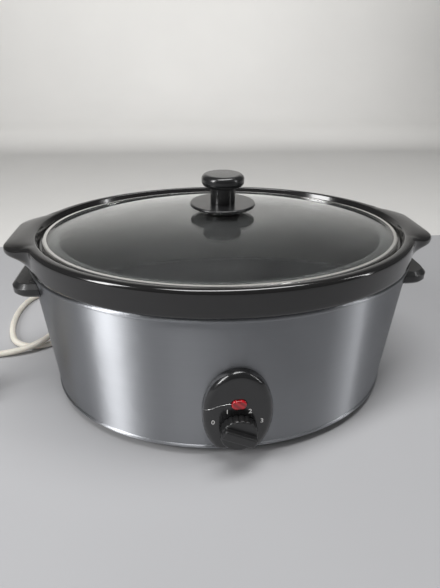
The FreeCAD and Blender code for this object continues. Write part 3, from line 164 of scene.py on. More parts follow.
# Colours of the parts that have no setting of their own
PLUG_BRASS = (0.70, 0.55, 0.28)
PIN_SLEEVE_BLACK = (0.02, 0.02, 0.02)
TIE_BLACK = (0.02, 0.02, 0.021)
LID_RIM_STEEL = (0.86, 0.85, 0.83)
LID_SCREW_STEEL = (0.66, 0.65, 0.63)
SEAL_RUBBER = (0.03, 0.03, 0.03)
SCREW_STEEL = (0.60, 0.60, 0.58)
BASE_PAINT = (0.018, 0.018, 0.019)
FOOT_RUBBER = (0.022, 0.022, 0.022)
SWITCH_STEEL = (0.62, 0.61, 0.58)
LINE_SILVER = (0.75, 0.75, 0.74)
GLAZE_DUST = (0.032, 0.031, 0.03)
WELL_COAT = (0.10, 0.10, 0.105)
HEATER_CLOTH = (0.46, 0.41, 0.33)
STRAP_STEEL = (0.62, 0.61, 0.60)
REFLECTOR_FOIL = (0.78, 0.78, 0.79)
SWITCH_WHITE = (0.62, 0.61, 0.57)
WIRE_COLOURS = (("wire_live", (0.16, 0.07, 0.03)), ("wire_neutral", (0.03, 0.07, 0.24)),
                ("wire_heater", (0.45, 0.42, 0.36)))
ROOM_LIGHT = (0.78, 0.79, 0.80)


class CrockSizes(bpy.types.PropertyGroup):
    """Sizes and glaze of the stoneware crock."""
    rim_half_length: bpy.props.FloatProperty(
        name="Rim half length", description="Rim's oval along X", default=RIM_HALF_LENGTH, unit="LENGTH")
    rim_half_width: bpy.props.FloatProperty(
        name="Rim half width", description="Rim's oval along Y", default=0.1431, unit="LENGTH")
    ear_reach: bpy.props.FloatProperty(
        name="Ear reach", description="Ear past the rim's end",
        default=CAD_BOX[1][0] - RIM_HALF_LENGTH, unit="LENGTH")
    ear_half_width: bpy.props.FloatProperty(
        name="Ear half width", description="Ear at its outer edge", default=0.042, unit="LENGTH")
    ear_corner: bpy.props.FloatProperty(
        name="Ear corner", description="Round of the ear's corners", default=0.024, unit="LENGTH")
    glaze: bpy.props.FloatVectorProperty(
        name="Glaze", description="Colour of the glaze", default=(0.011, 0.0105, 0.0105), subtype="COLOR")


class LidSizes(bpy.types.PropertyGroup):
    """Sizes and tint of the glass lid."""
    half_length: bpy.props.FloatProperty(
        name="Half length", description="Glass along X", default=0.1704, unit="LENGTH")
    half_width: bpy.props.FloatProperty(
        name="Half width", description="Glass along Y", default=0.1300, unit="LENGTH")
    edge_level: bpy.props.FloatProperty(
        name="Edge level", description="Underside of the glass's edge", default=0.1596, unit="LENGTH")
    rise: bpy.props.FloatProperty(
        name="Rise", description="Dome above the glass's edge", default=0.0173, unit="LENGTH")
    thickness: bpy.props.FloatProperty(
        name="Thickness", description="Thickness of the glass", default=0.0036, unit="LENGTH")
    tint: bpy.props.FloatVectorProperty(
        name="Tint", description="Colour of the glass", default=(0.90, 0.925, 0.92), subtype="COLOR")


class HousingColours(bpy.types.PropertyGroup):
    """Colours of the housing, handles, controls and the lid's knob."""
    steel: bpy.props.FloatVectorProperty(
        name="Steel", description="Brushed steel", default=(0.39, 0.40, 0.42), subtype="COLOR")
    plastic: bpy.props.FloatVectorProperty(
        name="Plastic", description="Black plastic", default=(0.012, 0.012, 0.0125), subtype="COLOR")
    lens: bpy.props.FloatVectorProperty(
        name="Lens", description="Pilot lamp's lens", default=(0.42, 0.006, 0.012), subtype="COLOR")
    print_ink: bpy.props.FloatVectorProperty(
        name="Print", description="Printed numerals", default=(0.80, 0.79, 0.76), subtype="COLOR")


class CordSizes(bpy.types.PropertyGroup):
    """Sizes and colour of the power cord and its coil."""
    diameter: bpy.props.FloatProperty(
        name="Diameter", description="Power cord", default=0.007, unit="LENGTH")
    length: bpy.props.FloatProperty(
        name="Length", description="Cord from gland to plug", default=1.368, unit="LENGTH")
    coil_middle: bpy.props.FloatVectorProperty(
        name="Coil middle", description="Middle of the coil's lower layer",
        default=(-0.340, -0.0048, 0.0052), subtype="TRANSLATION")
    coil_radius: bpy.props.FloatProperty(
        name="Coil radius", description="Outer loop, to the cord's middle", default=0.0388, unit="LENGTH")
    coil_step: bpy.props.FloatProperty(
        name="Coil step", description="Loop to loop and layer to layer", default=0.0089, unit="LENGTH")
    sheath: bpy.props.FloatVectorProperty(
        name="Sheath", description="Colour of the cord", default=(0.72, 0.68, 0.60), subtype="COLOR")


class StageLook(bpy.types.PropertyGroup):
    """Camera, floor, backdrop and lamps."""
    camera_place: bpy.props.FloatVectorProperty(
        name="Camera", description="Camera's place",
        default=(-0.0452, -0.4382, 0.3224), subtype="TRANSLATION")
    camera_turn: bpy.props.FloatVectorProperty(
        name="Camera turn", description="Yaw, pitch down and roll", subtype="EULER",
        default=(math.radians(-5.664), math.radians(27.871), math.radians(0.539)))
    lens: bpy.props.FloatProperty(
        name="Lens", description="Focal length in millimetres", default=28.634)
    floor: bpy.props.FloatVectorProperty(
        name="Floor", description="Colour of the floor", default=(0.42, 0.42, 0.43), subtype="COLOR")
    wall: bpy.props.FloatVectorProperty(
        name="Backdrop", description="Colour of the backdrop", default=(0.72, 0.71, 0.69), subtype="COLOR")
    key_power: bpy.props.FloatProperty(
        name="Key lamp", default=16.0, unit="POWER",
        description="Power of the lamp at the left, which the overhead and backdrop lamps follow")
    fill_power: bpy.props.FloatProperty(
        name="Fill lamp", description="Power of the narrow lamp at the right", default=2.0, unit="POWER")


class CookerSettings(bpy.types.PropertyGroup):
    """All settings of the slow cooker."""
    crock: bpy.props.PointerProperty(type=CrockSizes)
    lid: bpy.props.PointerProperty(type=LidSizes)
    housing: bpy.props.PointerProperty(type=HousingColours)
    cord: bpy.props.PointerProperty(type=CordSizes)
    stage: bpy.props.PointerProperty(type=StageLook)


class Finish:
    """A procedural material: a shader, and grains of noise that drive its colour, roughness and bump."""

    def __init__(self, name, color, roughness, metallic=0.0):
        self.material = bpy.data.materials.new(name)
        self.material.use_nodes = True
        self.tree = self.material.node_tree
        self.shader = self.tree.nodes["Principled BSDF"]
        self.color = tuple(color)
        self.set("Base Color", (*self.color, 1.0))
        self.set("Roughness", roughness)
        self.set("Metallic", metallic)
        self.place = self.tree.nodes.new("ShaderNodeTexCoord")

    def set(self, socket, value):
        """Set a value that is the same all over the surface."""
        self.shader.inputs[socket].default_value = value

    def link(self, output, target):
        """Join one node's output to another node's socket."""
        self.tree.links.new(output, target)

    def drive(self, socket, output):
        """Let a node's output drive one of the shader's sockets."""
        self.link(output, self.shader.inputs[socket])

    def grain(self, scale, detail=4.0, rough=0.55):
        """Noise in the object's own metres; a scale of three numbers stretches it."""
        stretch = scale if hasattr(scale, "__len__") else (scale, scale, scale)
        mapping = self.tree.nodes.new("ShaderNodeMapping")
        mapping.inputs["Scale"].default_value = stretch
        self.link(self.place.outputs["Object"], mapping.inputs["Vector"])
        noise = self.tree.nodes.new("ShaderNodeTexNoise")
        noise.inputs["Scale"].default_value = 1.0
        noise.inputs["Detail"].default_value = detail
        noise.inputs["Roughness"].default_value = rough
        self.link(mapping.outputs["Vector"], noise.inputs["Vector"])
        return noise.outputs["Fac"]

    def waves(self, direction, scale, distortion, detail_scale=1.0):
        """Wavy bands in the object's own metres."""
        wave = self.tree.nodes.new("ShaderNodeTexWave")
        wave.bands_direction = direction
        wave.inputs["Scale"].default_value = scale
        wave.inputs["Distortion"].default_value = distortion
        wave.inputs["Detail Scale"].default_value = detail_scale
        self.link(self.place.outputs["Object"], wave.inputs["Vector"])
        return wave.outputs["Fac"]

    def spread(self, value, low, high, start=0.3, end=0.7):
        """Map a grain, from start to end, onto a range of numbers."""
        node = self.tree.nodes.new("ShaderNodeMapRange")
        ends = (("From Min", start), ("From Max", end), ("To Min", low), ("To Max", high))
        for socket, number in ends:
            node.inputs[socket].default_value = number
        self.link(value, node.inputs["Value"])
        return node.outputs["Result"]

    def total(self, one, other, share):
        """One grain with a share of another on it."""
        node = self.tree.nodes.new("ShaderNodeMath")
        node.operation = "MULTIPLY_ADD"
        node.inputs[1].default_value = share
        self.link(other, node.inputs[0])
        self.link(one, node.inputs[2])
        return node.outputs["Value"]

    def tones(self, value, *stops):
        """Colour from a grain, by (place, brightness of the base colour or a colour) stops."""
        ramp = self.tree.nodes.new("ShaderNodeValToRGB")
        elements = ramp.color_ramp.elements
        while len(elements) < len(stops):
            elements.new(0.5)
        for element, (spot, tone) in zip(elements, stops):
            element.position = spot
            shade = tone if hasattr(tone, "__len__") else [min(1.0, c * tone) for c in self.color]
            element.color = (*shade, 1.0)
        self.link(value, ramp.inputs["Fac"])
        self.drive("Base Color", ramp.outputs["Color"])

    def gloss(self, value, low, high):
        """Roughness from a grain."""
        self.drive("Roughness", self.spread(value, low, high))

    def relief(self, value, height, strength, edge=0.0):
        """Bump from a grain, with its height in metres; edges look eased by a round if one is given."""
        bump = self.tree.nodes.new("ShaderNodeBump")
        if edge:
            eased_edge = self.tree.nodes.new("ShaderNodeBevel")
            eased_edge.samples = 6
            eased_edge.inputs["Radius"].default_value = edge
            self.link(eased_edge.outputs["Normal"], bump.inputs["Normal"])
        bump.inputs["Strength"].default_value = strength
        bump.inputs["Distance"].default_value = height
        self.link(value, bump.inputs["Height"])
        self.drive("Normal", bump.outputs["Normal"])


def brushed_steel(color, roughness=0.42):
    """Steel brushed round the housing: fine level lines, smears, and scuffs in the gloss."""
    steel = Finish("brushed_wrap", color, roughness, metallic=1.0)
    lines = steel.grain((6, 6, 4200), detail=6.0, rough=0.7)
    smears = steel.grain((9, 9, 5), detail=3.0)
    scuffs = steel.grain((30, 30, 300), detail=5.0, rough=0.7)
    steel.tones(steel.total(lines, smears, share=0.5), (0.40, 0.93), (0.72, 1.0), (1.0, 1.06))
    wear = steel.total(steel.total(smears, lines, share=0.35), scuffs, share=0.25)
    worn = steel.spread(wear, roughness * 0.85, roughness * 1.15, start=0.55, end=1.05)
    steel.drive("Roughness", worn)
    steel.relief(lines, height=0.00001, strength=0.3)
    # The tangent runs round the housing, and the quarter turn stretches highlights up and down
    steel.set("Anisotropic", 1.0)
    steel.set("Anisotropic Rotation", 0.25)
    tangent = steel.tree.nodes.new("ShaderNodeTangent")
    tangent.direction_type = "RADIAL"
    tangent.axis = "Z"
    steel.drive("Tangent", tangent.outputs["Tangent"])
    return steel.material


def bright_metal(name, color, roughness):
    """Plain bright metal with light handling marks."""
    metal = Finish(name, color, roughness, metallic=1.0)
    marks = metal.grain(420, detail=5.0, rough=0.65)
    metal.tones(marks, (0.3, 0.88), (0.7, 1.06))
    metal.gloss(marks, roughness * 0.7, roughness * 1.5)
    metal.relief(marks, height=0.000012, strength=0.3)
    return metal.material


def glazed_stoneware(color):
    """Deep black glaze: slow ripples, a little orange peel, faint dust."""
    glaze = Finish("black_glaze", color, roughness=0.07)
    ripples = glaze.grain(34, detail=2.0)
    peel = glaze.grain(420, detail=2.0)
    dust = glaze.grain(1500, detail=2.0, rough=0.5)
    glaze.tones(dust, (0.45, 0.9), (0.68, 1.15), (0.8, GLAZE_DUST))
    glaze.gloss(glaze.total(ripples, peel, share=0.4), 0.05, 0.13)
    glaze.relief(glaze.total(ripples, peel, share=0.05), height=0.00035, strength=0.5)
    glaze.set("IOR", 1.52)
    glaze.set("Coat Weight", 0.35)
    glaze.set("Coat Roughness", 0.04)
    return glaze.material


def moulded_plastic(name, color, roughness, coat=0.25):
    """Moulded plastic: faint flow marks, fine wipe lines in the gloss, eased edges."""
    plastic = Finish(name, color, roughness)
    flow = plastic.grain(70, detail=3.0)
    wipes = plastic.grain((500, 90, 900), detail=4.0, rough=0.7)
    plastic.tones(flow, (0.3, 0.8), (0.7, 1.3))
    plastic.gloss(plastic.total(flow, wipes, share=0.5), roughness * 0.6, roughness * 1.6)
    plastic.relief(wipes, height=0.00002, strength=0.25, edge=0.0012)
    plastic.set("IOR", 1.5)
    plastic.set("Coat Weight", coat)
    plastic.set("Coat Roughness", 0.08)
    return plastic.material


def clear_glass(color):
    """Clear toughened glass with smears and a little cooking haze."""
    glass = Finish("lid_glass", color, roughness=0.0)
    smears = glass.grain((14, 20, 14), detail=4.0, rough=0.6)
    glass.gloss(smears, 0.0, 0.035)
    haze = glass.grain((7, 9, 7), detail=5.0, rough=0.65)
    glass.drive("Transmission Weight", glass.spread(haze, 0.965, 0.992))
    glass.set("IOR", 1.5)
    return glass.material


def cord_sheath(name, color):
    """Cream plastic sheath, a little grubby, with a fine drawn grain."""
    sheath = Finish(name, color, roughness=0.42)
    grubby = sheath.grain(28, detail=5.0, rough=0.65)
    drawn = sheath.grain(900, detail=3.0)
    sheath.tones(grubby, (0.28, 0.74), (0.5, 1.0), (0.8, 1.12))
    sheath.gloss(grubby, 0.34, 0.55)
    sheath.relief(drawn, height=0.00004, strength=0.4)
    sheath.set("Subsurface Weight", 0.04)
    return sheath.material


def matt_coat(name, color, roughness, scale=600, height=0.00006):
    """A matt coat or rubber with a fine tooth."""
    coat = Finish(name, color, roughness)
    tooth = coat.grain(scale, detail=4.0, rough=0.6)
    worn = coat.grain(22, detail=4.0)
    coat.tones(coat.total(tooth, worn, share=0.7), (0.45, 0.72), (0.8, 1.0), (1.0, 1.3))
    coat.gloss(worn, roughness * 0.85, min(1.0, roughness * 1.15))
    coat.relief(tooth, height, strength=0.6)
    return coat.material


def woven_band(name, color):
    """Woven heat-proof cloth round the heater."""
    cloth = Finish(name, color, roughness=0.85)
    weave = cloth.waves("Z", scale=180, distortion=2.5, detail_scale=4.0)
    fibres = cloth.grain((900, 900, 300), detail=3.0)
    both = cloth.total(weave, fibres, share=0.6)
    cloth.tones(both, (0.2, 0.6), (0.7, 1.0), (1.0, 1.25))
    cloth.relief(both, height=0.0003, strength=0.7)
    return cloth.material


def red_lens(color):
    """Red plastic that lets some light in, with moulded ribs behind its face."""
    lens = Finish("red_lens", color, roughness=0.12)
    ribs = lens.waves("DIAGONAL", scale=95, distortion=0.6)
    lens.tones(ribs, (0.1, 0.62), (0.9, 1.25))
    lens.gloss(lens.grain(260, detail=3.0), 0.08, 0.2)
    lens.set("Subsurface Weight", 0.25)
    lens.set("Subsurface Radius", (0.004, 0.0008, 0.0008))
    lens.set("Coat Weight", 0.6)
    lens.set("Coat Roughness", 0.05)
    return lens.material


def stage_cloth(name, color):
    """Plain matt floor or backdrop."""
    cloth = Finish("plain_" + name, color, roughness=0.9)
    blotches = cloth.grain(2.2, detail=3.0)
    cloth.tones(blotches, (0.25, 0.97), (0.75, 1.02))
    cloth.set("Specular IOR Level", 0.15)
    return cloth.material


def settings():
    """The slow cooker's settings in the present scene."""
    return bpy.context.scene.slow_cooker


def dress(material, *nodes):
    """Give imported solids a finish."""
    for name in nodes:
        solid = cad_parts[name]
        if not solid.material_slots:
            solid.data.materials.append(material)
        for slot in solid.material_slots:
            slot.material = material


def add_piece(name, data, material, body, place=(0, 0, 0), turn=(0, 0, 0)):
    """Put a new mesh, curve or text in its place in the scene, on one of the part's bodies."""
    piece = bpy.data.objects.new(name, data)
    bpy.context.scene.collection.objects.link(piece)
    piece.data.materials.append(material)
    piece.location = place
    piece.rotation_euler = turn
    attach(piece, body)
    return piece


def smooth(mesh):
    """Shade every face of a mesh smooth."""
    mesh.polygons.foreach_set("use_smooth", [True] * len(mesh.polygons))


def ring_mesh(name, rings, closed):
    """A smooth skin over rings of points: the last ring joins the first if closed, or both get caps."""
    count = len(rings[0])
    last = len(rings) - 1
    points = [point for ring in rings for point in ring]
    pairs = [(ring, ring + 1) for ring in range(last)]
    if closed:
        pairs.append((last, 0))
    faces = []
    for low, high in pairs:
        for i in range(count):
            j = (i + 1) % count
            faces.append((low * count + i, low * count + j, high * count + j, high * count + i))
    capped = () if closed else ((0, -1), (last, 1))
    for ring, turn in capped:
        points.append(sum(rings[ring], Vector()) / count)
        for i in range(count):
            edge = (ring * count + i, ring * count + (i + 1) % count)
            faces.append((*edge[::turn], len(points) - 1))
    mesh = bpy.data.meshes.new(name)
    mesh.from_pydata([tuple(point) for point in points], [], faces)
    mesh.validate()
    smooth(mesh)
    mesh.update()
    return mesh


def eased(share):
    """A share of at most 1 that starts and ends softly."""
    share = min(1.0, share)
    return share * share * (3 - 2 * share)


def round_angles(count):
    """Even angles once round."""
    return [2 * math.pi * i / count for i in range(count)]


def inset_oval(oval, inset):
    """An oval's half length and half width, both less by an inset."""
    return [half - inset for half in oval]


def oval_reach(oval, angle):
    """How far an oval reaches from its middle along an angle."""
    half_length, half_width = oval
    slant = math.hypot(half_width * math.cos(angle), half_length * math.sin(angle))
    return half_length * half_width / slant


def polar_ring(oval, level, angles, growth=None):
    """An oval ring of points, each pushed out and raised by its own growth where that is given."""
    ring = []
    for i, angle in enumerate(angles):
        push, rise = growth[i] if growth else (0.0, 0.0)
        reach = oval_reach(oval, angle) + push
        ring.append(Vector((reach * math.cos(angle), reach * math.sin(angle), level + rise)))
    return ring


def section_rings(oval, level, section, angles):
    """Rings along a section that gives how far inside an oval and how far above a level each one is."""
    return [polar_ring(inset_oval(oval, inset), level + rise, angles) for inset, rise in section]


def arc(middle_out, middle_up, radius, start, end, steps):
    """Points of a round in section, as (out, up), between two angles in degrees."""
    points = []
    for step in range(steps + 1):
        angle = math.radians(start + (end - start) * step / steps)
        points.append((middle_out + radius * math.cos(angle), middle_up + radius * math.sin(angle)))
    return points


class SLOWCOOKER_OT_stage(bpy.types.Operator):
    """Camera, pale floor with a paler backdrop, and soft lamps"""
    bl_idname = "slow_cooker.stage"
    bl_label = "Stage"

    def execute(self, context):
        look = settings().stage
        scene = context.scene
        scene.view_settings.view_transform = "Standard"
        self.camera(scene, look)
        self.floor(scene, look)
        self.lamps(scene, look)
        self.room(scene)
        return {"FINISHED"}

    def camera(self, scene, look):
        """The camera, turned by its yaw, pitch and roll in that order."""
        camera = bpy.data.objects.new("camera", bpy.data.cameras.new("camera"))
        scene.collection.objects.link(camera)
        yaw, pitch, roll = look.camera_turn
        stand = Matrix.Translation(look.camera_place)
        for angle, axis in ((yaw, "Z"), (math.pi / 2 - pitch, "X"), (roll, "Z")):
            stand = stand @ Matrix.Rotation(angle, 4, axis)
        camera.matrix_world = stand
        camera.data.lens = look.lens
        camera.data.sensor_width = 36.0
        camera.data.clip_start = 0.02
        scene.camera = camera

    def floor(self, scene, look):
        """A pale floor, and a paler sheet that lies behind it and rises far from the object."""
        front = -3.0
        floor_end = 0.38
        wall = 2.4
        wall_top = 3.0
        bend = 0.6
        bend_steps = 12
        half_span = 3.5
        rise = arc(wall - bend, bend, bend, -90, 0, bend_steps)
        sheets = (("floor", look.floor, [(front, 0.0), (floor_end, 0.0)]),
                  ("backdrop", look.wall, [(floor_end, 0.0), *rise, (wall, wall_top)]))
        for name, color, section in sheets:
            points = [(x, out, up) for out, up in section for x in (-half_span, half_span)]
            faces = [(2 * i, 2 * i + 1, 2 * i + 3, 2 * i + 2) for i in range(len(section) - 1)]
            mesh = bpy.data.meshes.new(name)
            mesh.from_pydata(points, [], faces)
            smooth(mesh)
            mesh.materials.append(stage_cloth(name, color))
            sheet = bpy.data.objects.new(name, mesh)
            scene.collection.objects.link(sheet)

    def lamps(self, scene, look):
        """A lamp at the left, a narrow one at the right, one overhead and one that faces the backdrop."""
        cooker = Vector((0, 0, 0.08))
        backdrop = Vector((0, 2.4, 0.8))
        overhead_power = look.key_power * 1.2
        # Each lamp's name, place, what it faces, width and height, and power
        lamps = (("key", (-1.18, -0.64, 0.85), cooker, (0.34, 0.9), look.key_power),
                 ("strip", (1.12, -0.42, 0.55), cooker, (0.04, 0.9), look.fill_power),
                 ("overhead", (0.1, -0.18, 1.6), cooker, (1.3, 0.4), overhead_power),
                 ("wash", (0, 1.2, 0.8), backdrop, (2.6, 0.5), look.key_power))
        for name, place, aim, (width, height), power in lamps:
            light = bpy.data.lights.new(name, "AREA")
            light.shape = "RECTANGLE"
            light.size = width
            light.size_y = height
            light.energy = power
            lamp = bpy.data.objects.new(name, light)
            scene.collection.objects.link(lamp)
            lamp.location = place
            lamp.rotation_euler = (aim - Vector(place)).to_track_quat("-Z", "Y").to_euler()

    def room(self, scene):
        """A dim, even light from all round."""
        world = bpy.data.worlds.new("room")
        world.use_nodes = True
        background = world.node_tree.nodes["Background"]
        background.inputs["Color"].default_value = (*ROOM_LIGHT, 1.0)
        background.inputs["Strength"].default_value = 0.15
        scene.world = world


class SLOWCOOKER_OT_cord(bpy.types.Operator):
    """Power cord with its coil, tie, gland and plug"""
    bl_idname = "slow_cooker.cord"
    bl_label = "Cord and plug"

    def execute(self, context):
        sizes = settings().cord
        line = bpy.data.curves.new("cord", "CURVE")
        line.dimensions = "3D"
        line.bevel_depth = sizes.diameter / 2
        line.bevel_resolution = 6
        line.use_fill_caps = True
        line.resolution_u = 10
        spline = line.splines.new("NURBS")
        points = [Vector(point) * MM for point in CORD_ROUTE] + self.coil_points(sizes)
        spline.points.add(len(points) - 1)
        for spot, point in zip(spline.points, points):
            spot.co = (*point, 1.0)
        spline.order_u = 3
        spline.use_endpoint_u = True
        sheath = cord_sheath("cord_sheath", sizes.sheath)
        cord = add_piece("cord", line, sheath, "housing")
        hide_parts("power_cord", "cord_coil")
        dress(sheath, "cord_gland", "cord_tail")
        plug_cream = [c * 1.04 for c in sizes.sheath]
        dress(cord_sheath("plug_cream", plug_cream), "plug_body", "plug_fuse_cover")
        dress(bright_metal("plug_brass", PLUG_BRASS, roughness=0.3), "plug_pins")
        dress(moulded_plastic("pin_sleeve_black", PIN_SLEEVE_BLACK, roughness=0.4), "plug_pin_sleeves")
        dress(matt_coat("tie_black", TIE_BLACK, roughness=0.6), "cord_tie")
        return {"FINISHED"}

    def coil_points(self, sizes):
        """Loops in along the lower layer, up where they reverse, and out along the upper layer."""
        per_half = COIL_POINTS_PER_TURN // 2
        last = len(COIL_INSETS) - 1
        # The spline touches the middle of each run between its points, at this share of their radius
        run_share = math.cos(math.pi / COIL_POINTS_PER_TURN)
        middle = Vector(sizes.coil_middle)
        points = []
        for step in range(per_half * last + 1):
            half, part = divmod(step, per_half)
            share = part / per_half
            after = min(half + 1, last)
            inset = COIL_INSETS[half] + (COIL_INSETS[after] - COIL_INSETS[half]) * share
            layer = COIL_LAYERS[half] + (COIL_LAYERS[after] - COIL_LAYERS[half]) * eased(share)
            radius = (sizes.coil_radius - inset * sizes.coil_step) / run_share
            angle = math.pi / 2 + 2 * math.pi * step / COIL_POINTS_PER_TURN
            spot = (radius * math.cos(angle), radius * math.sin(angle), layer * sizes.coil_step)
            points.append(middle + Vector(spot))
        end = middle + Vector((sizes.diameter, -sizes.coil_radius, sizes.coil_step))
        return points + [end]


class SLOWCOOKER_OT_crock(bpy.types.Operator):
    """Glazed crock with its lid seat, rounded rim and two ears that run into the rim"""
    bl_idname = "slow_cooker.crock"
    bl_label = "Crock"

    def execute(self, context):
        sizes = settings().crock
        angles = round_angles(CROCK_POINTS)
        inside = self.wall_rings(BOWL, BOWL_FLOOR, LID_SEAT, INSIDE_SHARES, angles)
        outside = self.wall_rings(OUTSIDE, CROCK_UNDERSIDE, RIM_UNDERSIDE, OUTSIDE_SHARES, angles)
        rings = inside + section_rings(BOWL, LID_SEAT, SEAT_EDGE, angles)
        rings += section_rings(RECESS, LID_SEAT, RECESS_SECTION, angles)
        rings += self.rim_rings(sizes, angles)
        rings += section_rings(OUTSIDE, RIM_UNDERSIDE, RIM_RETURN, angles)
        rings += outside[::-1]
        mesh = ring_mesh("glazed_crock", rings, closed=False)
        crock = add_piece("glazed_crock", mesh, glazed_stoneware(sizes.glaze), "crock")
        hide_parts("crock")
        return {"FINISHED"}

    def wall_rings(self, oval, foot, top, shares, angles):
        """Rings out over a flat foot, round its edge, and up a wall that would meet an oval at the top."""
        flat_shares, wall_shares = shares
        flat = inset_oval(oval, WALL_LEAN + FOOT_ROUND)
        wall_foot = foot + FOOT_ROUND
        rings = [polar_ring([half * share for half in flat], foot, angles) for share in flat_shares]
        for out, up in arc(0.0, wall_foot, FOOT_ROUND, -90, 0, FOOT_STEPS):
            rings.append(polar_ring(inset_oval(flat, -out), up, angles))
        for share in wall_shares:
            level = wall_foot + (top - wall_foot) * share
            rings.append(polar_ring(inset_oval(oval, WALL_LEAN * (1 - share)), level, angles))
        return rings

    def rim_rings(self, sizes, angles):
        """Rings over the rim and down outside it, drawn out at the ears."""
        rim = (sizes.rim_half_length, sizes.rim_half_width)
        outline = self.ear_outline(sizes)
        ear_shares = [self.ear_push(rim, outline, angle) / sizes.ear_reach for angle in angles]
        rings = []
        for side, ear in RIM_SECTION:
            out, up = (value * MM for value in side)
            ear_out, ear_up = (value * MM for value in ear)
            growth = []
            for share in ear_shares:
                growth.append((out + share * (ear_out - out), eased(share * EAR_LIFT) * (ear_up - up)))
            rings.append(polar_ring(rim, up, angles, growth))
        return rings

    def ear_outline(self, sizes):
        """Half of the right ear's outline: from its outer edge's middle round a corner to its root."""
        reach = sizes.rim_half_length + sizes.ear_reach
        root = Vector((reach - EAR_ROOT_BACK, sizes.ear_half_width + EAR_ROOT_WIDER))
        corner = Vector((reach, sizes.ear_half_width))
        side = (root - corner).normalized()
        bend = math.acos(side.y)
        run = sizes.ear_corner * math.tan(bend / 2)
        middle = Vector((reach - sizes.ear_corner, corner.y - run))
        outline = [Vector((reach, 0.0))]
        for step in range(EAR_CORNER_STEPS + 1):
            turn = bend * step / EAR_CORNER_STEPS
            outline.append(middle + sizes.ear_corner * Vector((math.cos(turn), math.sin(turn))))
        outline.append(root)
        return outline

    def ear_push(self, rim, outline, angle):
        """How far an ear stands past the rim's oval along an angle, running softly into it."""
        turn = math.atan2(abs(math.sin(angle)), abs(math.cos(angle)))
        away = Vector((math.cos(turn), math.sin(turn)))
        for near, far in zip(outline, outline[1:]):
            if math.atan2(near.y, near.x) <= turn <= math.atan2(far.y, far.x):
                edge = far - near
                distance = (near.x * edge.y - near.y * edge.x) / (away.x * edge.y - away.y * edge.x)
                past = distance - oval_reach(rim, turn)
                near_rim = max(EAR_SOFTNESS - abs(past), 0.0) / EAR_SOFTNESS
                return max(past, 0.0) + near_rim * near_rim * EAR_SOFTNESS / 4
        return 0.0


class SLOWCOOKER_OT_lid(bpy.types.Operator):
    """Glass dome, its steel rim, and the knob with its guard disc"""
    bl_idname = "slow_cooker.lid"
    bl_label = "Lid"

    def execute(self, context):
        sizes = settings().lid
        mesh = ring_mesh("lid_glass", self.glass_rings(sizes), closed=True)
        glass = add_piece("lid_glass", mesh, clear_glass(sizes.tint), "lid")
        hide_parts("glass_lid")
        dress(bright_metal("lid_rim_steel", LID_RIM_STEEL, roughness=0.09), "lid_rim")
        black = moulded_plastic("knob_black", settings().housing.plastic, roughness=0.16)
        dress(black, "lid_knob", "lid_knob_guard")
        dress(matt_coat("seal_rubber", SEAL_RUBBER, roughness=0.8), "lid_seal_top", "lid_seal_under")
        dress(bright_metal("lid_screw_steel", LID_SCREW_STEEL, roughness=0.25), "lid_screw")
        return {"FINISHED"}

    def glass_rings(self, sizes):
        """Rings round the glass's edge, over the dome to its hole, and back along the underside."""
        angles = round_angles(LID_POINTS)
        glass = (sizes.half_length, sizes.half_width)
        edge = inset_oval(glass, LID_FLANGE)
        edge_round = sizes.thickness / 2
        rims = []
        for out, up in arc(0.0, edge_round, edge_round, -90, 90, LID_EDGE_STEPS):
            rims.append(polar_ring(inset_oval(glass, edge_round - out), sizes.edge_level + up, angles))
        ovals = []
        for step in range(DOME_STEPS + 1):
            share = step / DOME_STEPS
            oval = [low - (low - top) * share for low, top in zip(edge, LID_TOP)]
            ovals.append((oval, sizes.rise * share * (2 - share)))
        ovals += [((radius, radius), sizes.rise) for radius in LID_TOP_RINGS]
        outer_level = sizes.edge_level + sizes.thickness
        outer = [polar_ring(oval, outer_level + rise, angles) for oval, rise in ovals]
        inner = [polar_ring(oval, sizes.edge_level + rise, angles) for oval, rise in ovals]
        return rims + outer + inner[::-1]


class SLOWCOOKER_OT_housing(bpy.types.Operator):
    """Brushed steel wrap, handles, base plate, feet and their fixings"""
    bl_idname = "slow_cooker.housing"
    bl_label = "Housing"

    def execute(self, context):
        colours = settings().housing
        dress(brushed_steel(colours.steel), "outer_housing")
        dress(moulded_plastic("handle_black", colours.plastic, roughness=0.22),
              "left_handle", "right_handle")
        dress(bright_metal("screw_steel", SCREW_STEEL, roughness=0.3), "left_handle_screws",
              "right_handle_screws", "base_stud", "base_nut", "base_washer", "spacer_tube")
        dress(matt_coat("base_paint", BASE_PAINT, roughness=0.55), "base_plate")
        dress(matt_coat("foot_rubber", FOOT_RUBBER, roughness=0.85, scale=900, height=0.0001),
              "foot_front_left", "foot_front_right", "foot_rear_left", "foot_rear_right")
        return {"FINISHED"}


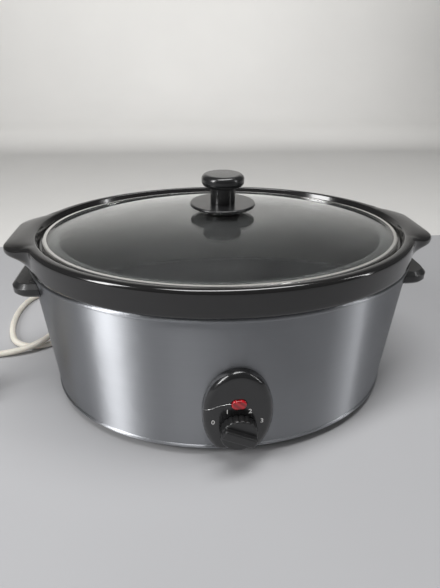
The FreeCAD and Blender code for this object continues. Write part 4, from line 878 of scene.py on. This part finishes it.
class SLOWCOOKER_OT_controls(bpy.types.Operator):
    """Control panel, dial, pilot lens, numerals and the line beside the lamp"""
    bl_idname = "slow_cooker.controls"
    bl_label = "Controls"

    def execute(self, context):
        colours = settings().housing
        dress(moulded_plastic("panel_black", colours.plastic, roughness=0.14, coat=0.4), "control_panel")
        dress(moulded_plastic("dial_black", colours.plastic, roughness=0.24), "control_dial")
        dress(red_lens(colours.lens), "pilot_lens")
        dress(bright_metal("switch_steel", SWITCH_STEEL, roughness=0.25), "switch_nut", "switch_shaft")
        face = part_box("control_panel")[0].y
        self.numerals(face, colours.print_ink)
        self.lamp_line(face)
        return {"FINISHED"}

    def numerals(self, face, color):
        """Printed numerals that stand round the dial, a little proud of the panel's face."""
        ink = matt_coat("numeral_print", color, roughness=0.5, scale=1800, height=0.000005)
        for text, across, up in DIAL_MARKS:
            letters = bpy.data.curves.new("numeral_" + text, "FONT")
            letters.body = text
            letters.size = NUMERAL_SIZE
            letters.align_x = "CENTER"
            letters.align_y = "CENTER"
            letters.extrude = NUMERAL_DEPTH
            add_piece("numeral_" + text, letters, ink, "housing",
                      place=(across * MM, face - NUMERAL_PROUD, up * MM), turn=(math.pi / 2, 0, 0))

    def lamp_line(self, face):
        """A thin silver line that sweeps over the panel's rounded edge to the lens."""
        line = bpy.data.curves.new("lamp_line", "CURVE")
        line.dimensions = "3D"
        line.bevel_depth = LINE_RADIUS
        line.use_fill_caps = True
        spline = line.splines.new("POLY")
        spline.points.add(LINE_STEPS)
        for step, point in enumerate(spline.points):
            share = step / LINE_STEPS
            across = LINE_START[0] + share * LINE_RUN[0]
            up = LINE_START[1] + LINE_RUN[1] * math.sin(share * math.pi / 2)
            height = (up - PANEL_LEVEL) / PANEL_HALF_HEIGHT
            to_edge = PANEL_HALF_WIDTH * math.sqrt(1 - height ** 2) - abs(across)
            into_round = max(0.0, PANEL_ROUND - to_edge)
            fall = PANEL_ROUND - math.sqrt(max(0.0, PANEL_ROUND ** 2 - into_round ** 2))
            point.co = (across, face + fall - LINE_PROUD, up, 1.0)
        silver = bright_metal("line_silver", LINE_SILVER, roughness=0.25)
        add_piece("lamp_line", line, silver, "housing")


class SLOWCOOKER_OT_inner_parts(bpy.types.Operator):
    """Heating well, heater, reflector, switch, lamp body, terminal block and wires"""
    bl_idname = "slow_cooker.inner_parts"
    bl_label = "Inner parts"

    def execute(self, context):
        dress(matt_coat("well_coat", WELL_COAT, roughness=0.5, scale=420, height=0.00005), "heating_well")
        dress(woven_band("heater_cloth", HEATER_CLOTH), "heater_band")
        dress(bright_metal("strap_steel", STRAP_STEEL, roughness=0.3),
              "heater_strap_low", "heater_strap_high", "thermal_fuse")
        dress(bright_metal("reflector_foil", REFLECTOR_FOIL, roughness=0.22), "heat_reflector")
        dress(matt_coat("switch_white", SWITCH_WHITE, roughness=0.55),
              "rotary_switch", "pilot_lamp", "terminal_block")
        for name, color in WIRE_COLOURS:
            dress(matt_coat(name + "_sleeve", color, roughness=0.5, scale=1200, height=0.00003), name)
        return {"FINISHED"}


class SLOWCOOKER_PT_panel(bpy.types.Panel):
    """Settings and pieces of the slow cooker"""
    bl_idname = "SLOWCOOKER_PT_panel"
    bl_label = "Slow cooker"
    bl_space_type = "VIEW_3D"
    bl_region_type = "UI"
    bl_category = "Slow cooker"

    def draw(self, context):
        layout = self.layout
        chosen = context.scene.slow_cooker
        for group in (chosen.crock, chosen.lid, chosen.housing, chosen.cord, chosen.stage):
            box = layout.box()
            for name in group.__annotations__:
                box.prop(group, name)
        for operator in OPERATORS:
            layout.operator(operator.bl_idname)


OPERATORS = (SLOWCOOKER_OT_stage, SLOWCOOKER_OT_cord, SLOWCOOKER_OT_crock, SLOWCOOKER_OT_lid,
             SLOWCOOKER_OT_housing, SLOWCOOKER_OT_controls, SLOWCOOKER_OT_inner_parts)
CLASSES = (CrockSizes, LidSizes, HousingColours, CordSizes, StageLook, CookerSettings,
           *OPERATORS, SLOWCOOKER_PT_panel)


def register():
    """Make the classes and the scene's settings known to Blender."""
    for kind in CLASSES:
        bpy.utils.register_class(kind)
    bpy.types.Scene.slow_cooker = bpy.props.PointerProperty(type=CookerSettings)


def unregister():
    """Take the settings and classes out of Blender again."""
    del bpy.types.Scene.slow_cooker
    for kind in reversed(CLASSES):
        bpy.utils.unregister_class(kind)


def main():
    """Make every piece in order."""
    register()
    bpy.ops.slow_cooker.stage()
    bpy.ops.slow_cooker.cord()
    bpy.ops.slow_cooker.crock()
    bpy.ops.slow_cooker.lid()
    bpy.ops.slow_cooker.housing()
    bpy.ops.slow_cooker.controls()
    bpy.ops.slow_cooker.inner_parts()


if __name__ == "__main__":
    main()
